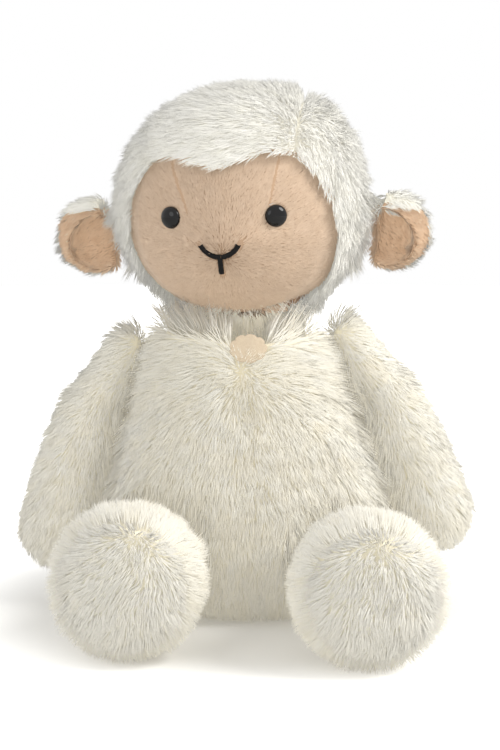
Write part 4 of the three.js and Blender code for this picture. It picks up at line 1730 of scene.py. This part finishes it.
@dataclass
class Limb:
    """One arm or leg: a sewn tube of pile fabric over filling, sewn to the body at its root."""

    kind: str
    side: Side
    panels: tuple[str, ...]
    blend_half: float
    root_bare: float = -12 * MM
    depth: float = 5.6 * MM
    mingle: float = 6 * MM
    firm: float = 0.2
    shoulder_share: float = 0.3
    shoulder_drop: float = 5 * MM
    shoulder_radius: float = 55 * MM
    shoulder_strength: float = 3.0
    sole_rise: float = 0.2
    sole_over: tuple[float, float] = (0.3, 1.35)
    sole_core: float = 8 * MM
    # The sole's low warmth, with its darker sole fur, is painted shade on the sole.
    warmths: tuple[float, float] = (0.3, 0.05)
    ruff: Ruff = Ruff(116 * MM, 134 * MM, 0.1, -0.2, facing=1.5, free=1.0)
    flush: Parting = Parting(strength=0.0, shorter=0.1, stand=0.6)
    seed: int = 61

    def build(self, frame: SheepFrame, finishes: Finishes) -> None:
        """Builds and dresses the limb.

        Args:
            frame: The fixed frame.
            finishes: The finishes.
        """
        body = f"{self.kind}_{self.side.word}"
        names = [f"{body}_{panel}" for panel in self.panels]
        panels = {name: self.depth for name in names}
        backing = StuffedForm(f"{body}_backing", panels, (f"{body}_filling",)).build(frame)
        hinge = frame.joint_place(f"{body}_lift")
        along = (frame.middle(names[-1]) - hinge).normalized()
        span = ("torso", body, hinge - along * self.blend_half, hinge + along * self.blend_half)
        settle(backing, finishes.body_backing, "body_plush", *span)

        def keep(points: Points, _: Points) -> Points:
            """Leaves the sewn root inside the body bare."""
            return reach(points, hinge, along) > self.root_bare

        seed = self.seed + self.side.value + len(self.kind)
        combed = self.strokes(names[-1], hinge, along)
        coat = Coat(
            backing, frame.beside(body), combed[0], seed, self.flush, self.ruff,
            mingle=self.mingle, firm=self.firm,
        )
        roots = coat.roots(LIMB_PILE.per_mm2, frame, names, keep)
        piles, furs = (LIMB_PILE, SOLE_PILE), (finishes.body, finishes.sole)
        for number, name in enumerate(names):
            coat.strokes = combed[number]
            mine = roots.only(roots.owner == number)
            fur = coat.grow(f"{name}_fur", mine, piles[number], self.warmths[number])
            settle(fur, furs[number], "body_plush", *span)

    def strokes(self, end: str, hinge: Vector, along: Vector) -> list[tuple[Stroke, ...]]:
        """How the pile of each panel is brushed.

        Args:
            end: The panel at the free end.
            hinge: The place of the joint.
            along: The way from the joint to the free end.

        Returns:
            For each panel its strokes: out over the shoulder and along an arm; away from the middle of the
            sole on a leg, and down over the sole from above it.
        """
        if self.kind == "arm":
            inside = Vector((self.shoulder_share * hinge.x, hinge.y, hinge.z - self.shoulder_drop))
            return [(Lay(along), Whorl(inside, self.shoulder_radius, self.shoulder_strength))]
        low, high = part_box(end)
        half = (high - low) / 2
        middle = low + half + Vector((0, 0, self.sole_rise * half.z))
        above = low + half + Vector((self.sole_over[0] * half.x, 0, self.sole_over[1] * half.z))
        return [(Whorl(middle),), (Whorl(above, core=self.sole_core),)]


@dataclass
class Tail:
    """The tail: a small flat stuffed form on the back."""

    depth: float = 2.5 * MM
    stuffing: Stuffing = Stuffing(2.2 * MM, 4, pressure=1.5, swell_limit=1.0 * MM)
    blend_before: float = 4 * MM
    blend_after: float = 6 * MM
    warmth: float = 0.35
    seed: int = 83

    def build(self, frame: SheepFrame, finishes: Finishes) -> None:
        """Builds and dresses the tail.

        Args:
            frame: The fixed frame.
            finishes: The finishes.
        """
        backing = StuffedForm("tail_backing", {"tail": self.depth}, stuffing=self.stuffing).build(frame)
        hinge = frame.joint_place("tail_lift")
        along = (frame.middle("tail") - hinge).normalized()
        span = ("torso", "tail", hinge - along * self.blend_before, hinge + along * self.blend_after)
        settle(backing, finishes.body_backing, "body_plush", *span)
        coat = Coat(backing, frame.beside("tail"), (Lay(along),), self.seed)
        roots = coat.roots(LIMB_PILE.per_mm2, frame, ["tail"])
        settle(coat.grow("tail_fur", roots, LIMB_PILE, self.warmth), finishes.body, "body_plush", *span)


def dress_inner_nodes(frame: SheepFrame, finishes: Finishes) -> None:
    """Gives the fixed nodes that stay in the scene their finish.

    Args:
        frame: The fixed frame.
        finishes: The finishes.
    """
    for name, node in frame.nodes.items():
        if name.endswith("filling"):
            set_material(node, finishes.filling)
        elif "washer" in name:
            set_material(node, finishes.washer)
        elif name == "seat_bean_bag":
            set_material(node, finishes.bean_bag)


# Studio


@dataclass(frozen=True)
class Lamp:
    """A soft box."""

    name: str
    place: Vector
    size: float
    power: float
    colour: tuple[float, float, float]


@dataclass
class Studio:
    """A white table under soft light, and the camera."""

    eye: Vector = field(default_factory=lambda: Vector((0, -1.0, 0.263)))
    target: Vector = field(default_factory=lambda: Vector((0, -0.01, 0.118)))
    focal_px: float = 2020.0
    image_height_px: float = 750.0
    sensor: float = 36.0
    nearest: float = 0.05
    furthest: float = 20.0
    ambient: float = 0.68
    floor_radius: float = 1.6
    floor_shade: Shade = (246, 245, 242)
    floor_roughness: float = 0.9
    fade_from: float = 0.10
    fade_to: float = 0.2
    faint: float = 0.13
    lamps: tuple[Lamp, ...] = (
        Lamp("key", Vector((1.6, -0.7, 1.5)), 1.2, 31.0, (1.0, 0.99, 0.97)),
        Lamp("fill", Vector((-1.2, -1.6, 0.8)), 1.2, 5.0, (0.97, 0.985, 1.0)),
    )

    def build(self) -> None:
        """Makes the camera, the lamps, the world and the floor."""
        data = bpy.data.cameras.new("camera")
        data.sensor_width = self.sensor
        data.lens = self.sensor * self.focal_px / self.image_height_px
        data.clip_start, data.clip_end = self.nearest, self.furthest
        bpy.context.scene.camera = self.aimed("camera", data, self.eye)
        for lamp in self.lamps:
            data = bpy.data.lights.new(lamp.name, "AREA")
            data.shape, data.size, data.energy, data.color = "DISK", lamp.size, lamp.power, lamp.colour
            self.aimed(lamp.name, data, lamp.place)
        self.world()
        self.floor()
        bpy.context.scene.view_settings.view_transform = "Standard"

    def aimed(self, name: str, data: bpy.types.ID, place: Vector) -> Piece:
        """Puts the camera or a lamp in its place, turned to the sheep.

        Args:
            name: Its name.
            data: The camera or the light.
            place: Its place.

        Returns:
            Its object.
        """
        made = bpy.data.objects.new(name, data)
        bpy.context.scene.collection.objects.link(made)
        made.location = place
        made.rotation_euler = (self.target - place).to_track_quat("-Z", "Y").to_euler()
        return made

    def world(self) -> None:
        """Makes a world that lights the sheep at a plain level and is white where it is seen.

        It is seen by the camera, in reflections and through glass.
        """
        world = bpy.data.worlds.new("studio")
        world.use_nodes = True
        bpy.context.scene.world = world
        tree = world.node_tree
        path = add_node(tree, "ShaderNodeLightPath", {})
        seen = add_node(tree, "ShaderNodeMath", {0: path["Is Camera Ray"], 1: path["Is Glossy Ray"]})[0]
        seen = add_node(tree, "ShaderNodeMath", {0: seen, 1: path["Is Transmission Ray"]}, use_clamp=True)[0]
        light = tree.nodes["Background"]
        feed(tree, light, {"Color": WHITE, "Strength": self.ambient})
        white = add_node(tree, "ShaderNodeBackground", {"Color": WHITE})[0]
        both = add_node(tree, "ShaderNodeMixShader", {0: seen, 1: light.outputs[0], 2: white})[0]
        feed(tree, tree.nodes["World Output"], {"Surface": both})

    def floor(self) -> None:
        """Makes a pale round floor that keeps the shadow and fades into the white world."""
        bm = bmesh.new()
        bmesh.ops.create_circle(bm, cap_ends=True, segments=96, radius=self.floor_radius)
        made = object_from("floor", bm)
        material, tree, shader = principled("white_table")
        length = add_node(tree, "ShaderNodeVectorMath", {0: own_place(tree)}, operation="LENGTH")["Value"]
        ends = {"From Min": self.fade_from, "From Max": self.fade_to, "To Min": self.faint, "To Max": 1.0}
        fade = add_node(tree, "ShaderNodeMapRange", {"Value": length} | ends, interpolation_type="SMOOTHSTEP")
        direct = add_node(tree, "ShaderNodeLightPath", {})["Is Camera Ray"]
        glow = add_node(tree, "ShaderNodeMath", {0: fade["Result"], 1: direct}, operation="MULTIPLY")[0]
        feed(tree, shader, {
            "Base Color": linear(self.floor_shade),
            "Roughness": self.floor_roughness,
            "Specular IOR Level": 0.0,
            "Emission Color": WHITE,
            "Emission Strength": glow,
        })
        set_material(made, material)
        made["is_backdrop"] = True


def main() -> None:
    """Builds the sheep in order, and its studio."""
    logging.basicConfig(level=logging.INFO, format="%(message)s")
    for extra in list(bpy.data.objects):
        bpy.data.objects.remove(extra)
    frame = SheepFrame()
    finishes = Finishes()
    Studio().build()
    dress_inner_nodes(frame, finishes)
    parts = [Torso(), Neck(), Head(), Tail()]
    for side in Side:
        parts.append(Ear(side))
        parts.append(Limb("arm", side, ("cover",), blend_half=12 * MM))
        parts.append(Limb("leg", side, ("cover", "sole"), blend_half=14 * MM))
    for part in parts:
        part.build(frame, finishes)
        LOG.info("built %s", part)


if __name__ == "__main__":
    main()
